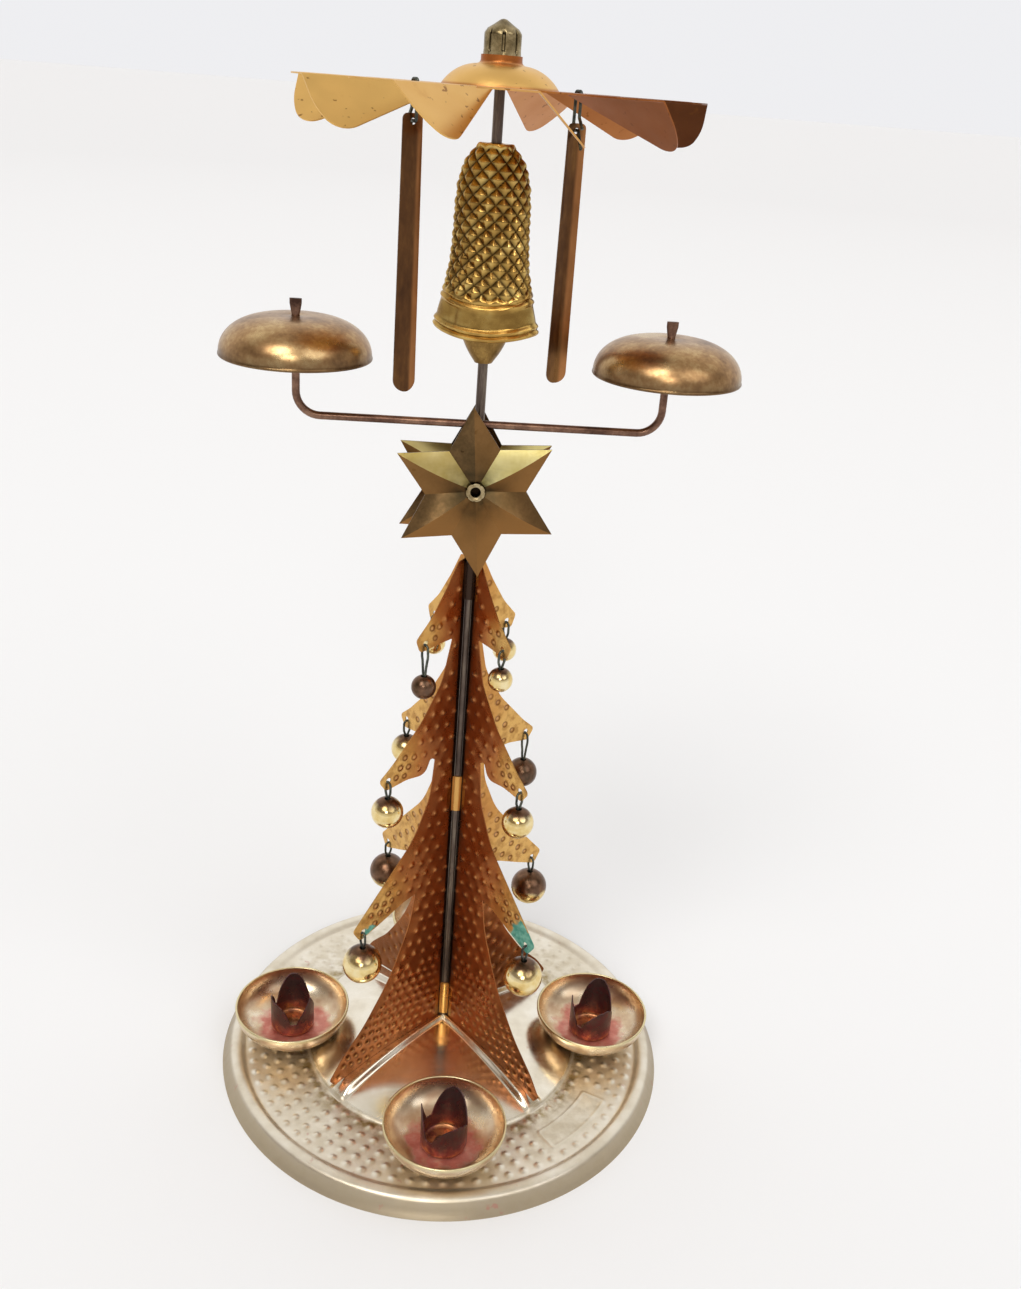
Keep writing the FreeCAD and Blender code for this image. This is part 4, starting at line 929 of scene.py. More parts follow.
def dot_height(r, theta, row):
    """One row of dots on the flat ring, with none in the frame and none at the seats."""
    ring, count = DOT_ROWS[row]
    phase = 0.5 * (row % 2)
    nearest = (np.round(theta / TAU * count - phase) + phase) * TAU / count
    cx, cy = ring * np.cos(nearest), ring * np.sin(nearest)
    gap = np.hypot(r * np.cos(theta) - cx, r * np.sin(theta) - cy) / DOT_R
    azimuth = azimuth_of(nearest)
    framed = (azimuth > PLATE_AZ[0] - 1.6) & (azimuth < PLATE_AZ[1] + 1.6)
    framed &= PLATE_R[0] - 1.4 < ring < PLATE_R[1] + 1.4
    bump = DOT_H * (0.5 + 0.5 * np.cos(np.minimum(gap, 1) * math.pi))
    return np.where(framed | (from_seats(cx, cy) < 8.4), 0.0, bump)


def frame_line(r, theta):
    """Raised outline of the blank field on the flat ring."""
    far = 9.0
    azimuth = azimuth_of(theta)
    ends = np.minimum(np.abs(r - PLATE_R[0]), np.abs(r - PLATE_R[1]))
    ends = np.where((azimuth > PLATE_AZ[0]) & (azimuth < PLATE_AZ[1]), ends, far)
    sides = np.minimum(np.abs(azimuth - PLATE_AZ[0]), np.abs(azimuth - PLATE_AZ[1]))
    sides = np.where((r > PLATE_R[0]) & (r < PLATE_R[1]), np.radians(sides) * r, far)
    return PLATE_LINE_H * (1 - smooth(np.minimum(ends, sides), 0.15, 0.6))


def base_height(r, theta, dots):
    """Top surface of the pressed disc at radius r and angle theta."""
    form = mound_height(r, theta)
    foot = 1 - smooth(r, MOUND_R, MOUND_R + 0.5)
    z = np.where(r <= MOUND_R, form, FLOOR_Z + (form - FLOOR_Z) * foot)
    gap = from_seats(r * np.cos(theta), r * np.sin(theta))
    z = np.maximum(z, FLOOR_Z + SEAT_H * (1 - smooth(gap, *SEAT_R)))
    if not dots:
        return z
    for row, (ring, _) in enumerate(DOT_ROWS):
        if abs(r.flat[0] - ring) <= DOT_R:
            z = z + dot_height(r, theta, row)
    return z + frame_line(r, theta)


def ring_stain(r, z):
    """Brown at the mound's foot and faintly over the ring, less on the dots."""
    near = math.exp(-((r - 44.2) / 2.6) ** 2) if r > MOUND_R - 0.4 else 0.0
    between = 0.3 * float(smooth(r, MOUND_R, 46) * (1 - smooth(r, 56, 61)))
    raised = np.clip((z - FLOOR_Z) / DOT_H, 0, 1) if r > MOUND_R else 0 * z
    return (near + between) * (1 - 0.85 * raised)


def build_base():
    theta = circle(TURNS)
    rows = []
    tones = []
    stains = []

    def ring(r, z, tone=0.0, stain=0.0):
        rows.append(ring_row(r, theta, z))
        tones.append(tone + 0 * theta)
        stains.append(stain + 0 * theta)
    upper = [*np.linspace(BORE, 12.0, 16), *np.linspace(12.8, MOUND_R, 40)]
    upper += [*np.linspace(MOUND_R + 0.25, FLOOR_R, 50)]
    for r in upper:
        z = base_height(np.full(TURNS, r), theta, True)
        ring(r, z, 1.0 if r < MOUND_R else 0.0, ring_stain(r, z) + 0.6 * on_ridge(r, theta))
    for r, z in RIM:
        ring(r, z, -float(smooth(r, 65.8, 67.0)), 0.1)
    for r, z in RIM_UNDER:
        ring(r, z)
    under = [*np.linspace(FLOOR_R - BASE_SHEET, MOUND_R, 12), *np.linspace(MOUND_R - 0.6, BORE, 26)]
    for r in under:
        ring(r, base_height(np.full(TURNS, r), theta, False) - BASE_SHEET)
    shell = Shell()
    shell.grid(rows[::-1], wrap_rows=True, wrap_cols=True, values=np.array(tones[::-1]))
    made = piece("base_pressed", shell, tin, "stand", ["base_plate"], 60)
    add_values(made, "stain", stains[::-1])


def ellipse_side(flat, radius, low, high, count):
    """Quarter-ellipse bowl side from its floor to its rim."""
    return [(flat + (radius - flat) * math.sin(t), high - (high - low) * math.cos(t))
            for t in np.linspace(0, math.pi / 2, count)]


def build_dishes():
    for name, azimuth in QUARTERS:
        seat = polar(DISH_PITCH_R, azimuth)
        outer = ellipse_side(DISH_FLAT_R, DISH_R, DISH_Z, DISH_RIM_Z, 16)
        roll = [(DISH_R - DISH_BEAD_R + DISH_BEAD_R * math.cos(t), DISH_RIM_Z + DISH_BEAD_R * math.sin(t))
                for t in np.linspace(0.3, 3.0, 8)]
        inner = ellipse_side(DISH_FLAT_R, DISH_R - DISH_SHEET, DISH_Z + DISH_SHEET, DISH_RIM_Z, 20)[::-1]
        profile = [(RIVET_BORE, DISH_Z), (4.0, DISH_Z)] + outer + roll + inner[1:]
        profile += [(4.0, SOCKET_Z), (RIVET_BORE, SOCKET_Z)]
        tones = [0.0] * (len(outer) + 1) + [-1.0] * (len(roll) + 1)
        tones += [float(1 - smooth(r, 7.5, 15.5)) for r, _ in inner[1:]] + [1.0, 1.0]
        shell = Shell()
        shell.lathe(profile, 120, seat, lambda a: 1 + 0.002 * np.sin(3 * a + azimuth), tones)
        piece("dish_" + name, shell, dish_metal, "stand", ["candle_dish_" + name], 50)


def petal_edge(name, angles, rough):
    """Height of a socket's torn edge and how far it leans in, round the cup."""
    top = np.full(len(angles), SOCKET_CUP_H)
    lean = np.zeros(len(angles))
    for middle, height, half, sharp, inward in PETALS[name]:
        off = np.abs((angles - middle + 180) % 360 - 180) / half
        share = np.clip(1 - off ** sharp, 0, 1) ** 0.8
        lift = SOCKET_CUP_H + (height - SOCKET_CUP_H) * share
        lean = np.where((lift > top) & (off < 1), inward, lean)
        top = np.maximum(top, lift)
    torn = np.array([rough.uniform(-0.16, 0.16) for _ in angles])
    return np.minimum(top + torn, PETAL_TOP), lean


def build_sockets():
    steps = 144
    rows_up = 26
    angles = np.arange(steps) * 360.0 / steps
    for name, azimuth in QUARTERS:
        seat = polar(DISH_PITCH_R, azimuth)
        top, lean = petal_edge(name, angles, Random(int(azimuth) + 5))
        rows = []
        tones = []
        for k in range(rows_up):
            z = top * (k / (rows_up - 1)) ** 1.4
            over = np.clip((z - SOCKET_CUP_H) / 10.5, 0, 1)
            turn_in = SOCKET_CORNER_R * (1 - np.clip(z / SOCKET_CORNER_R, 0, 1))
            corner = SOCKET_CORNER_R - np.sqrt(np.maximum(SOCKET_CORNER_R ** 2 - turn_in ** 2, 0))
            radius = SOCKET_MID_R - lean * over ** 1.7 - corner
            rows.append(ring_row(radius, np.radians(angles), SOCKET_Z + 0.2 + z, seat.x, seat.y))
            tones.append(np.clip(z / 12.0, 0, 1))
        shell = Shell()
        shell.sheet(rows, SOCKET_SHEET, wrap=True, values=np.array(tones))
        edge = SOCKET_MID_R - SOCKET_CORNER_R
        floor_top = SOCKET_Z + SOCKET_SHEET
        floor = [(RIVET_BORE, SOCKET_Z), (edge, SOCKET_Z), (edge + 0.3, SOCKET_Z + 0.2), (edge, floor_top),
                 (RIVET_BORE, floor_top)]
        shell.lathe(floor, 48, seat)
        piece("socket_" + name, shell, socket_metal, "stand", ["candle_socket_" + name], 50)


# ---------------------------------------------------------------------- tree
def branch_glow(r, z):
    """How near a point of a panel lies to one of its three branches."""
    return np.maximum.reduce([np.exp(-(((r - b) / wide) ** 2 + ((z - h - high / 3) / high) ** 2))
                              for (_, b, h), (wide, high) in zip(TIERS, BRANCH_GLOW)])


def lattice_points(steps, count):
    (ux, uz), (vx, vz) = steps
    u, z = LATTICE_START
    span = range(-count, count)
    return np.array([(u + a * ux + b * vx, z + a * uz + b * vz) for a in span for b in span])


def clear_points(points, outline):
    """The points inside an outline, clear of its edge and of the hook holes."""
    within, gap = inside(points, outline)
    points = points[within & (gap > DIMPLE_TO_EDGE)]
    for _, r, z in TIERS:
        points = points[np.hypot(points[:, 0] - r, points[:, 1] - z) > HOLE_R + DIMPLE_TO_HOLE]
    return points


def with_dense_spots(spots, outline):
    """Closer dimples on the branches and the feet, in place of the wider ones there."""
    dense = clear_points(lattice_points(DENSE_LATTICE, 80), outline)
    dense = dense[(branch_glow(*dense.T) > 0.5) | (dense[:, 1] < DENSE_FOOT_Z)]
    away = np.array([np.hypot(*(dense - spot).T).min() for spot in spots])
    return np.concatenate([spots[away > 2.4], dense])


def add_panel(shell, outline, spots, azimuth, sign):
    """One half panel, with its dimples pressed to one side."""
    rough = Random(int(azimuth))
    places = spots + np.array([(rough.uniform(-0.22, 0.22), rough.uniform(-0.22, 0.22)) for _ in spots])
    sizes = np.array([rough.uniform(0.75, 1.1) for _ in spots])
    holes = [[(r + HOLE_R * math.cos(t), z + HOLE_R * math.sin(t)) for t in circle(16)] for _, r, z in TIERS]
    extra = []
    for u, v in places:
        extra.append((u, v))
        for share, count in DIMPLE_RINGS:
            extra.extend((u + DIMPLE_R * share * math.cos(t), v + DIMPLE_R * share * math.sin(t))
                         for t in circle(count))

    def height(u, v):
        lift = np.zeros(len(u))
        for (a, b), size in zip(places, sizes):
            d = np.hypot(u - a, v - b) / DIMPLE_R
            lift = np.maximum(lift, size * DIMPLE_H * (0.5 + 0.5 * np.cos(np.minimum(d, 1) * math.pi)))
        return lift

    def place(u, v, h):
        return polar(u, azimuth, v) + around(azimuth) * (h * sign)
    pressed(shell, outline, holes, extra, height, place, TREE_SHEET, lambda u, v: height(u, v) / DIMPLE_H)


def add_bands(shell, first, second):
    """Bands that join two half panels round the spindle."""
    middle_r = BORE + TREE_SHEET / 2
    plan = [polar(r, first) for r in (3.6, 2.6, 2.0)]
    plan += [polar(middle_r, a) for a in np.linspace(first + 6, second - 6, 12)]
    plan += [polar(r, second) for r in (2.0, 2.6, 3.6)]
    for low, high in BANDS:
        rows = [[(p.x, p.y, z) for p in plan] for z in np.linspace(low, high, 5)]
        # the top band takes the painted shadow beside the spindle; the value 2 keeps the lower bands out of
        # it
        shell.sheet(rows, TREE_SHEET, values=np.full((5, len(plan)), 2.0 if low < 150 else 0.0))


def build_tree():
    crest = [(r, float(cap_height(r, MOUND_R, *CREST_Z)) + 0.1) for r in np.linspace(41.6, SLOT_R, 22)]
    outline = rounded([(SLOT_R, 13.0, 0), (SLOT_R, TREE_TOP_Z, 0)] + list(PANEL_EDGE))[1:] + crest
    for sheet_name, panels in (("front", PANELS[:2]), ("back", PANELS[2:])):
        spots = clear_points(lattice_points(LATTICE[sheet_name], 60), outline)
        if sheet_name == "front":
            spots = with_dense_spots(spots, outline)
        shell = Shell()
        lit = []
        green = []
        for panel_name, azimuth, sign in panels:
            before = len(shell.points)
            add_panel(shell, outline, spots, azimuth, sign)
            new = np.array(shell.points[before:])
            r = np.hypot(new[:, 0], new[:, 1])
            z = new[:, 2]
            glow = 0.18 + 0.2 * smooth(r, 4, 30) * smooth(z, 20, 50) + 0.78 * branch_glow(r, z)
            lit.extend(glow + (0.45 * smooth(z, 48, 70) if sheet_name == "back" else 0.0))
            spot = GREEN_SPOTS.get(panel_name)
            green.extend(1 - np.hypot(r - spot[0], z - spot[1]) / spot[2] * 0.5 if spot else 0 * r)
        add_bands(shell, panels[0][1], panels[1][1])
        added = len(shell.points) - len(lit)
        made = piece("tree_sheet_" + sheet_name, shell, tree_metal, "stand", ["tree_" + sheet_name],
                     40)
        add_values(made, "lit", lit + [0.85] * added)
        add_values(made, "green", green + [0.0] * added)


def ball_profile(radius):
    """Closed outline of a hollow ball with a seam and a turned-in mouth, and its values."""
    top = math.asin(BALL_MOUTH_R / radius)
    profile = []
    tones = []
    for t in np.linspace(0, math.pi - top, 34):
        seam = 1 - 0.012 * math.exp(-((t - math.pi / 2) / 0.035) ** 2)
        profile.append((max(radius * seam * math.sin(t), 0.02), -radius * seam * math.cos(t)))
        tones.append(0.5 - 0.5 * math.cos(t))
    for turn_in in (0.15, 0.35):
        profile.append((BALL_MOUTH_R * 0.9, profile[-1][1] - turn_in))
        tones.append(1.0)
    inner = radius - BALL_WALL
    for t in np.linspace(math.pi - top - 0.12, 0, 14):
        profile.append((max(inner * math.sin(t), 0.02), -inner * math.cos(t)))
        tones.append(1.0)
    return profile, tones


def hook_path(key, azimuth, hole_r, hole_z, drop):
    """Wire from inside the ball, up through the branch's hole and down again."""
    runs = 9
    rough = Random(hash_of(key))
    side = around(azimuth)
    bend_z = hole_z - HOLE_R + HOOK_WIRE_R + 0.02 - HOOK_HALF
    low = hole_z - drop
    legs = []
    for sign in (-1, 1):
        leg = []
        for k in range(runs + 1):
            share = k / runs
            z = bend_z - (bend_z - low) * share
            wave = 0.18 * math.sin(share * TAU * 1.3 + rough.uniform(-0.4, 0.4)) if drop > 8 else 0.0
            width = HOOK_HALF - 0.71 * smooth(share, 0.45, 1.0) + wave * (1 - smooth(share, 0.8, 1.0))
            leg.append(polar(hole_r, azimuth, z) + side * (sign * float(width)))
        leg.append(polar(hole_r, azimuth, low - 0.6) + side * (sign * HOOK_NECK))
        leg.append(polar(hole_r, azimuth, low - 1.7) + side * (sign * 0.8))
        legs.append(leg)
    bow = [polar(hole_r, azimuth, bend_z + HOOK_HALF * math.sin(t)) - side * (HOOK_HALF * math.cos(t))
           for t in np.linspace(0.25, math.pi - 0.25, 9)]
    return legs[0][::-1] + bow + legs[1]


def build_balls():
    gilt = {}
    for panel_name, azimuth, _ in PANELS:
        for tier, hole_r, hole_z in TIERS:
            key = panel_name + "_" + tier
            drop = HOOK_LONG_DROP if key in LONG_HOOKS else HOOK_DROP
            top_darkening = DARK_BALLS.get(key, 0.0)
            if top_darkening not in gilt:
                gilt[top_darkening] = ball_material("ball_gilt_%d" % round(top_darkening * 100), top_darkening)
            profile, tones = ball_profile(BALL_R[tier])
            ball = Shell()
            ball.lathe(profile, 40, polar(hole_r, azimuth, hole_z - drop - BALL_R[tier]), None, tones)
            body = "bauble_" + key
            piece("bauble_ball_" + key, ball, gilt[top_darkening], body, ["ball_" + key], 50)
            wire = Shell()
            wire.tube(hook_path(key, azimuth, hole_r, hole_z, drop), HOOK_WIRE_R, 10)
            piece("bauble_hook_" + key, wire, wire_metal, body, ["hook_" + key], 60)


def hash_of(text):
    return sum((k + 1) * ord(c) for k, c in enumerate(text))


# ------------------------------------------------------------ star, arm, gongs
def star_ray(k, share):
    """Radius and depth on ray k of the star, from the hub to its tip or notch."""
    hub = STAR_HUB_Y + STAR_SHEET
    if k % 2:
        radius = STAR_HUB_R + (STAR_NOTCH_R - STAR_HUB_R) * share
        return radius, hub + (STAR_NOTCH_Y - hub) * share
    radius = STAR_HUB_R + (STAR_TIP_R - STAR_HUB_R) * share
    peak = (STAR_NOTCH_R - STAR_HUB_R) / (STAR_TIP_R - STAR_HUB_R)
    low = hub + 0.28
    bow = STAR_RIDGE_Y - low - (STAR_TIP_Y - low) * peak
    return radius, low + (STAR_TIP_Y - low) * share + bow * share * (1 - share) / (peak * (1 - peak))


def build_star():
    stations = 13
    back = 12 * stations
    last = stations - 1
    for name, facing in (("front", -1), ("back", 1)):
        points = []
        tones = []
        for cut in (0.0, STAR_SHEET):
            for k in range(12):
                a = math.radians(90 + STAR_TURN[name] + 30 * k)
                for share in np.linspace(0, 1, stations):
                    r, depth = star_ray(k, share)
                    points.append((r * math.cos(a), facing * (depth - cut), STAR_Z + r * math.sin(a)))
                    tones.append(0.9 * float(1 - smooth(r, 2.5, 11.0)))
        faces = []
        # painted reflection share of each face, by facet pair
        polish_and_painted_sheen = []
        for k in range(12):
            a, b = k * stations, (k + 1) % 12 * stations
            for m in range(last):
                face = (a + m, b + m, b + m + 1, a + m + 1)
                faces.extend((face, tuple(i + back for i in face[::-1])))
                polish_and_painted_sheen.extend((STAR_PAINTED_SHEEN[k], STAR_PAINTED_SHEEN[k]))
            faces.append((a + last, b + last, b + last + back, a + last + back))
            faces.append((b, a, a + back, b + back))
            polish_and_painted_sheen.extend((0.0, 0.0))
        if facing > 0:
            faces = [face[::-1] for face in faces]
        shell = Shell()
        shell.add(points, faces, tones)
        made = piece("star_plate_" + name, shell, star_metal, "stand", ["star_" + name], 13)
        add_values(made, "polish_and_painted_sheen", polish_and_painted_sheen, "FACE")


def build_eyelet():
    """Hollow rivet through the star, with torn lips and a dark plug inside that stands in for the shade in
    its hole.
    """
    hub = STAR_HUB_Y + STAR_SHEET
    slope = (STAR_RIDGE_Y - hub) / STAR_NOTCH_R
    neck = hub + 1.65 * slope + 0.05
    lip = hub + 3.0 * slope + 0.05
    half = [(1.63, neck), (1.9, neck + 0.14), (2.3, lip), (2.5, lip + 0.08), (2.45, lip + 0.24),
            (2.1, lip + 0.3), (1.7, neck + 0.34), (1.4, neck + 0.3), (1.27, neck)]
    ring = half + [(r, -y) for r, y in reversed(half)]
    steps = 84
    rows = []
    for r, y in ring:
        row = []
        for t in circle(steps):
            torn = 0.0 if r < 1.9 else (r - 1.8) * 0.28 * max(0.0, math.sin(7 * t + 0.6)) ** 4
            row.append(((r - torn) * math.cos(t), y, STAR_Z + (r - torn) * math.sin(t)))
        rows.append(row)
    # painted shade on the inner wall of the bore
    dark = np.array([1.0 if r < 1.35 else 0.0 for r, _ in ring])
    shell = Shell()
    shell.grid(rows, wrap_rows=True, wrap_cols=True, values=np.repeat(dark[:, None], steps, axis=1))
    # dark plug closing the bore: a stand-in for its shadow
    plug = ((0.02, -0.5), (1.35, -0.5), (1.35, 0.5), (0.02, 0.5))
    rows = [[(r * math.cos(t), y, STAR_Z + r * math.sin(t)) for t in circle(24)] for r, y in plug]
    shell.grid(rows, wrap_rows=True, wrap_cols=True, values=np.ones((4, 24)))
    piece("star_eyelet", shell, rivet_metal, "stand", ["star_rivet"], 50)


def build_arm():
    ends = [(-ARM_HALF, ARM_Y, PIN_TOP_Z), (-ARM_HALF, ARM_Y, ARM_Z)]
    corners = ends + [(ARM_HALF, y, z) for _, y, z in reversed(ends)]
    path = fill_path(arc_path(corners, ARM_BEND_R, 10), 1.2)
    flat = []
    for p in path:
        end = float(smooth(p.z, PIN_TOP_Z - 3.2, PIN_TOP_Z - 1.8))
        flat.append((1 + 0.48 * end, 1 - 0.5 * end))
    shell = Shell()
    shell.tube(path, ARM_R, 16, flat)
    top = GONG_RIM_Z + GONG_H - GONG_SHEET - FIT
    for x in (-ARM_HALF, ARM_HALF):
        shell.lathe([(r, top + z) for r, z in COLLAR], 32, (x, ARM_Y, 0))
    piece("arm_wire_bent", shell, arm_metal, "stand", ["gong_arm"], 50)


def gong_side(radius, top, count):
    """Side of a gong from its crown to its rim, fuller than an ellipse."""
    flat = radius * GONG_CROWN
    turns = [(math.sin(t) ** GONG_FULL, math.cos(t) ** GONG_FULL) for t in np.linspace(0, math.pi / 2, count)]
    return [(flat + (radius - flat) * out, GONG_RIM_Z + (top - GONG_RIM_Z) * up) for out, up in turns]


def build_gongs():
    top = GONG_RIM_Z + GONG_H
    bore = ARM_R + FIT
    outer = gong_side(GONG_R, top, 26)
    inner = gong_side(GONG_R - GONG_SHEET, top - GONG_SHEET, 20)[::-1]
    lip = [(GONG_R - 0.25 + 0.4 * math.cos(t), GONG_RIM_Z + 0.4 * math.sin(t))
           for t in np.linspace(0.9, -3.4, 14)]
    profile = [(bore, top - 0.08), (bore + 0.25, top)] + outer[:-1] + lip + inner[1:]
    profile.append((bore, top - GONG_SHEET))
    tones = [float(1 - smooth(z, GONG_RIM_Z, GONG_RIM_Z + 3.5)) for _, z in profile]
    for name, x in (("left", -ARM_HALF), ("right", ARM_HALF)):
        shell = Shell()
        shell.lathe(profile, 144, (x, ARM_Y, 0), None, tones)
        piece("gong_bowl_" + name, shell, gong_metal, "gong_" + name, ["gong_" + name], 50)


# ---------------------------------------------------------------------- bell
def turned(rows, degrees):
    a = math.radians(degrees)
    x, y, z = rows[..., 0], rows[..., 1], rows[..., 2]
    return np.stack([x * math.cos(a) - y * math.sin(a), x * math.sin(a) + y * math.cos(a), z], axis=-1)


def bell_relief(arc, lift, z):
    """How deep the bell's diamonds and its band are sunk, and how much painted shade darkens them."""
    p = arc / BELL_DIAMOND_W + z / BELL_DIAMOND_H
    q = arc / BELL_DIAMOND_W - z / BELL_DIAMOND_H
    pyramid = np.minimum(1 - np.abs(2 * (p % 1) - 1), 1 - np.abs(2 * (q % 1) - 1))
    pattern = smooth(lift, 8.6, 10.2) * (1 - smooth(z, 43.2, 44.4))
    groove = BELL_GROOVE * (1 - np.clip(pyramid * 1.15, 0, 1) ** 0.8) * pattern
    bead = np.maximum(np.exp(-((lift - 0.5) / 0.45) ** 2), np.exp(-((lift - 1.9) / 0.5) ** 2))
    bead = np.maximum(bead, np.exp(-((lift - 7.6) / 0.5) ** 2))
    band = (1 - smooth(lift, 8.2, 9.0)) * (1 - bead) * 0.55
    return groove + band, groove / BELL_GROOVE + band * 0.75


def build_bell():
    angles = np.linspace(0, math.pi, 111)[None, :]
    share = np.linspace(0, 1, 160)[:, None]
    start = BELL_MOUTH_R - np.sqrt(BELL_MOUTH_R ** 2 - (13.8 * np.cos(angles)) ** 2)
    z = start + (BELL_SECTIONS[-1][0] - start) * share
    width = spline(BELL_SECTIONS, 1, z)
    depth = spline(BELL_SECTIONS, 2, z)
    arc = (angles - math.pi / 2) * (width + depth) / 2 * 1.08
    sink, deep = bell_relief(arc, z - start, z)
    crown = np.linspace(1, 0.0, 8)[:, None]
    crown_r = 1.55
    top_z = BELL_Z + BELL_SECTIONS[-1][0] - 0.2
    for name, facing in (("front", -1), ("back", 1)):
        x = (width - sink - BELL_SHEET / 2) * np.cos(angles)
        y = facing * (BELL_SEAM + (depth - sink - BELL_SHEET / 2) * np.sin(angles))
        side = turned(np.stack([x, y, BELL_Z + z + 0 * angles], axis=-1), BELL_TURN)
        x = (crown_r + (width[-1, 0] - 0.2 - crown_r) * crown) * np.cos(angles)
        y = facing * (BELL_SEAM + (crown_r + (depth[-1, 0] - 0.2 - crown_r) * crown) * np.sin(angles))
        roof = turned(np.stack([x, y, top_z + 0.22 * (1 - crown) + 0 * angles], axis=-1), BELL_TURN)
        tones = np.clip(deep, 0, 1)
        if facing < 0:
            side, roof, tones = side[:, ::-1], roof[:, ::-1], tones[:, ::-1]
        shell = Shell()
        shell.sheet(side, BELL_SHEET, values=tones)
        shell.sheet(roof, BELL_SHEET)
        piece("bell_half_" + name, shell, bell_metal, "stand", ["bell_" + name], 40)


def build_clapper():
    t = circle(72)
    bottom, top = CLAPPER_SECTIONS[0][0], CLAPPER_SECTIONS[-1][0]
    rows = []
    tones = []
    for z in np.linspace(bottom, top, 30):
        w, d = float(spline(CLAPPER_SECTIONS, 1, z)), float(spline(CLAPPER_SECTIONS, 2, z))
        crease = 0.35 * np.exp(-(w * np.cos(t) / 0.5) ** 2)
        rows.append(np.stack([w * np.cos(t), (d - crease) * np.sin(t), BELL_Z + z + 0 * t], axis=-1))
        tones.append(crease)
    for z in (top, bottom):
        rows.append(ring_row(BORE, t, BELL_Z + z))
        tones.append(0 * t)
    shell = Shell()
    shell.grid(rows, wrap_rows=True, wrap_cols=True, values=np.array(tones))
    piece("bell_clapper_bead", shell, clapper_metal, "stand", ["bell_clapper"], 50)


# ----------------------------------------------------------------- fan wheel
class Sheet:
    """Middle surface with a normal and a value at each point; equal points are shared."""

    def __init__(self):
        self.points = []
        self.normals = []
        self.values = []
        self.faces = []
        self.known = {}

    def point(self, place, normal, value):
        key = tuple(round(c, 3) for c in place)
        if key not in self.known:
            self.known[key] = len(self.points)
            self.points.append(Vector(place))
            self.normals.append(Vector((0, 0, 0)))
            self.values.append(value)
        index = self.known[key]
        self.normals[index] += normal
        return index

    def thicken(self, shell, half):
        total = len(self.points)
        normals = [n.normalized() for n in self.normals]
        front = [tuple(p + n * half) for p, n in zip(self.points, normals)]
        back = [tuple(p - n * half) for p, n in zip(self.points, normals)]
        faces = self.faces + [tuple(i + total for i in face[::-1]) for face in self.faces]
        used = set()
        for face in self.faces:
            used.update(zip(face, face[1:] + face[:1]))
        faces += [(b, a, a + total, b + total) for a, b in used if (b, a) not in used]
        shell.add(front + back, faces, self.values * 2)


def rim_corner(first, second):
    """Where the rim's tangents at two azimuths meet."""
    return polar(FAN_R / math.cos(math.radians(second - first) / 2), (first + second) / 2)


def add_blade(sheet, index):
    """Flat arm, rounded fold and flap of one blade."""
    pitch = 360.0 / BLADES
    slit = SLIT_AZ + pitch * index
    previous = slit - pitch
    fold = slit - FOLD_SPAN
    tint = BLADE_PAINTED_REFLECTION[index]
    up = Vector((0, 0, 1))
    mid = up * (FAN_Z + FAN_SHEET / 2)
    bend = math.radians(FLAP_BEND)
    reach = FOLD_R * math.tan(bend / 2)
    root = polar(SLIT_START_R, slit)
    tip = polar(FAN_R, fold)
    length = (tip - root).length
    along = (tip - root).normalized()
    side = up.cross(along)
    down = side * math.cos(bend) - up * math.sin(bend)

    start = polar(SLIT_START_R, previous)
    corner = polar(FAN_R, previous)
    bow = rim_corner(previous, fold)
    rim = rounded([(start.x, start.y, 0), (corner.x, corner.y, 2.0), (bow.x, bow.y, 30.0), (tip.x, tip.y, 0)])
    hub = [polar(HUB_SHEET_R, slit - 3.0 * k) for k in range(13)]
    edge = hub + [Vector((x, y, 0)) for x, y in rim[:-1]]
    stations = np.linspace(length, 0, 24)
    edge += [root + along * t - side * reach for t in stations] + [root]
    arm = [sheet.point(p + mid, up, tint) for p in edge]
    sheet.faces.append(tuple(arm))

    rows = [arm[-25:-1]]
    for k in range(1, 7):
        a = bend * k / 6
        shift = side * (FOLD_R * math.sin(a) - reach) - up * (FOLD_R * (1 - math.cos(a)))
        normal = side * math.sin(a) + up * math.cos(a)
        rows.append([sheet.point(root + along * t + shift + mid, normal, tint) for t in stations])
    for a, b in zip(rows, rows[1:]):
        sheet.faces.extend((a[k + 1], a[k], b[k], b[k + 1]) for k in range(len(a) - 1))

    def flat(p):
        return (p - root).dot(along), (p - root).dot(side)
    deep, round_off = flat(polar(FAN_R, slit)), flat(rim_corner(fold, slit))
    outline = rounded([(0, reach, 0), deep + (5.0,), round_off + (19.0,), (length, reach, 0)])[1:-1]
    normal = side * math.sin(bend) + up * math.cos(bend)
    flap = [sheet.point(root + along * u + down * w + mid, normal, tint) for u, w in outline]
    sheet.faces.append(tuple(rows[-1]) + tuple(flap))


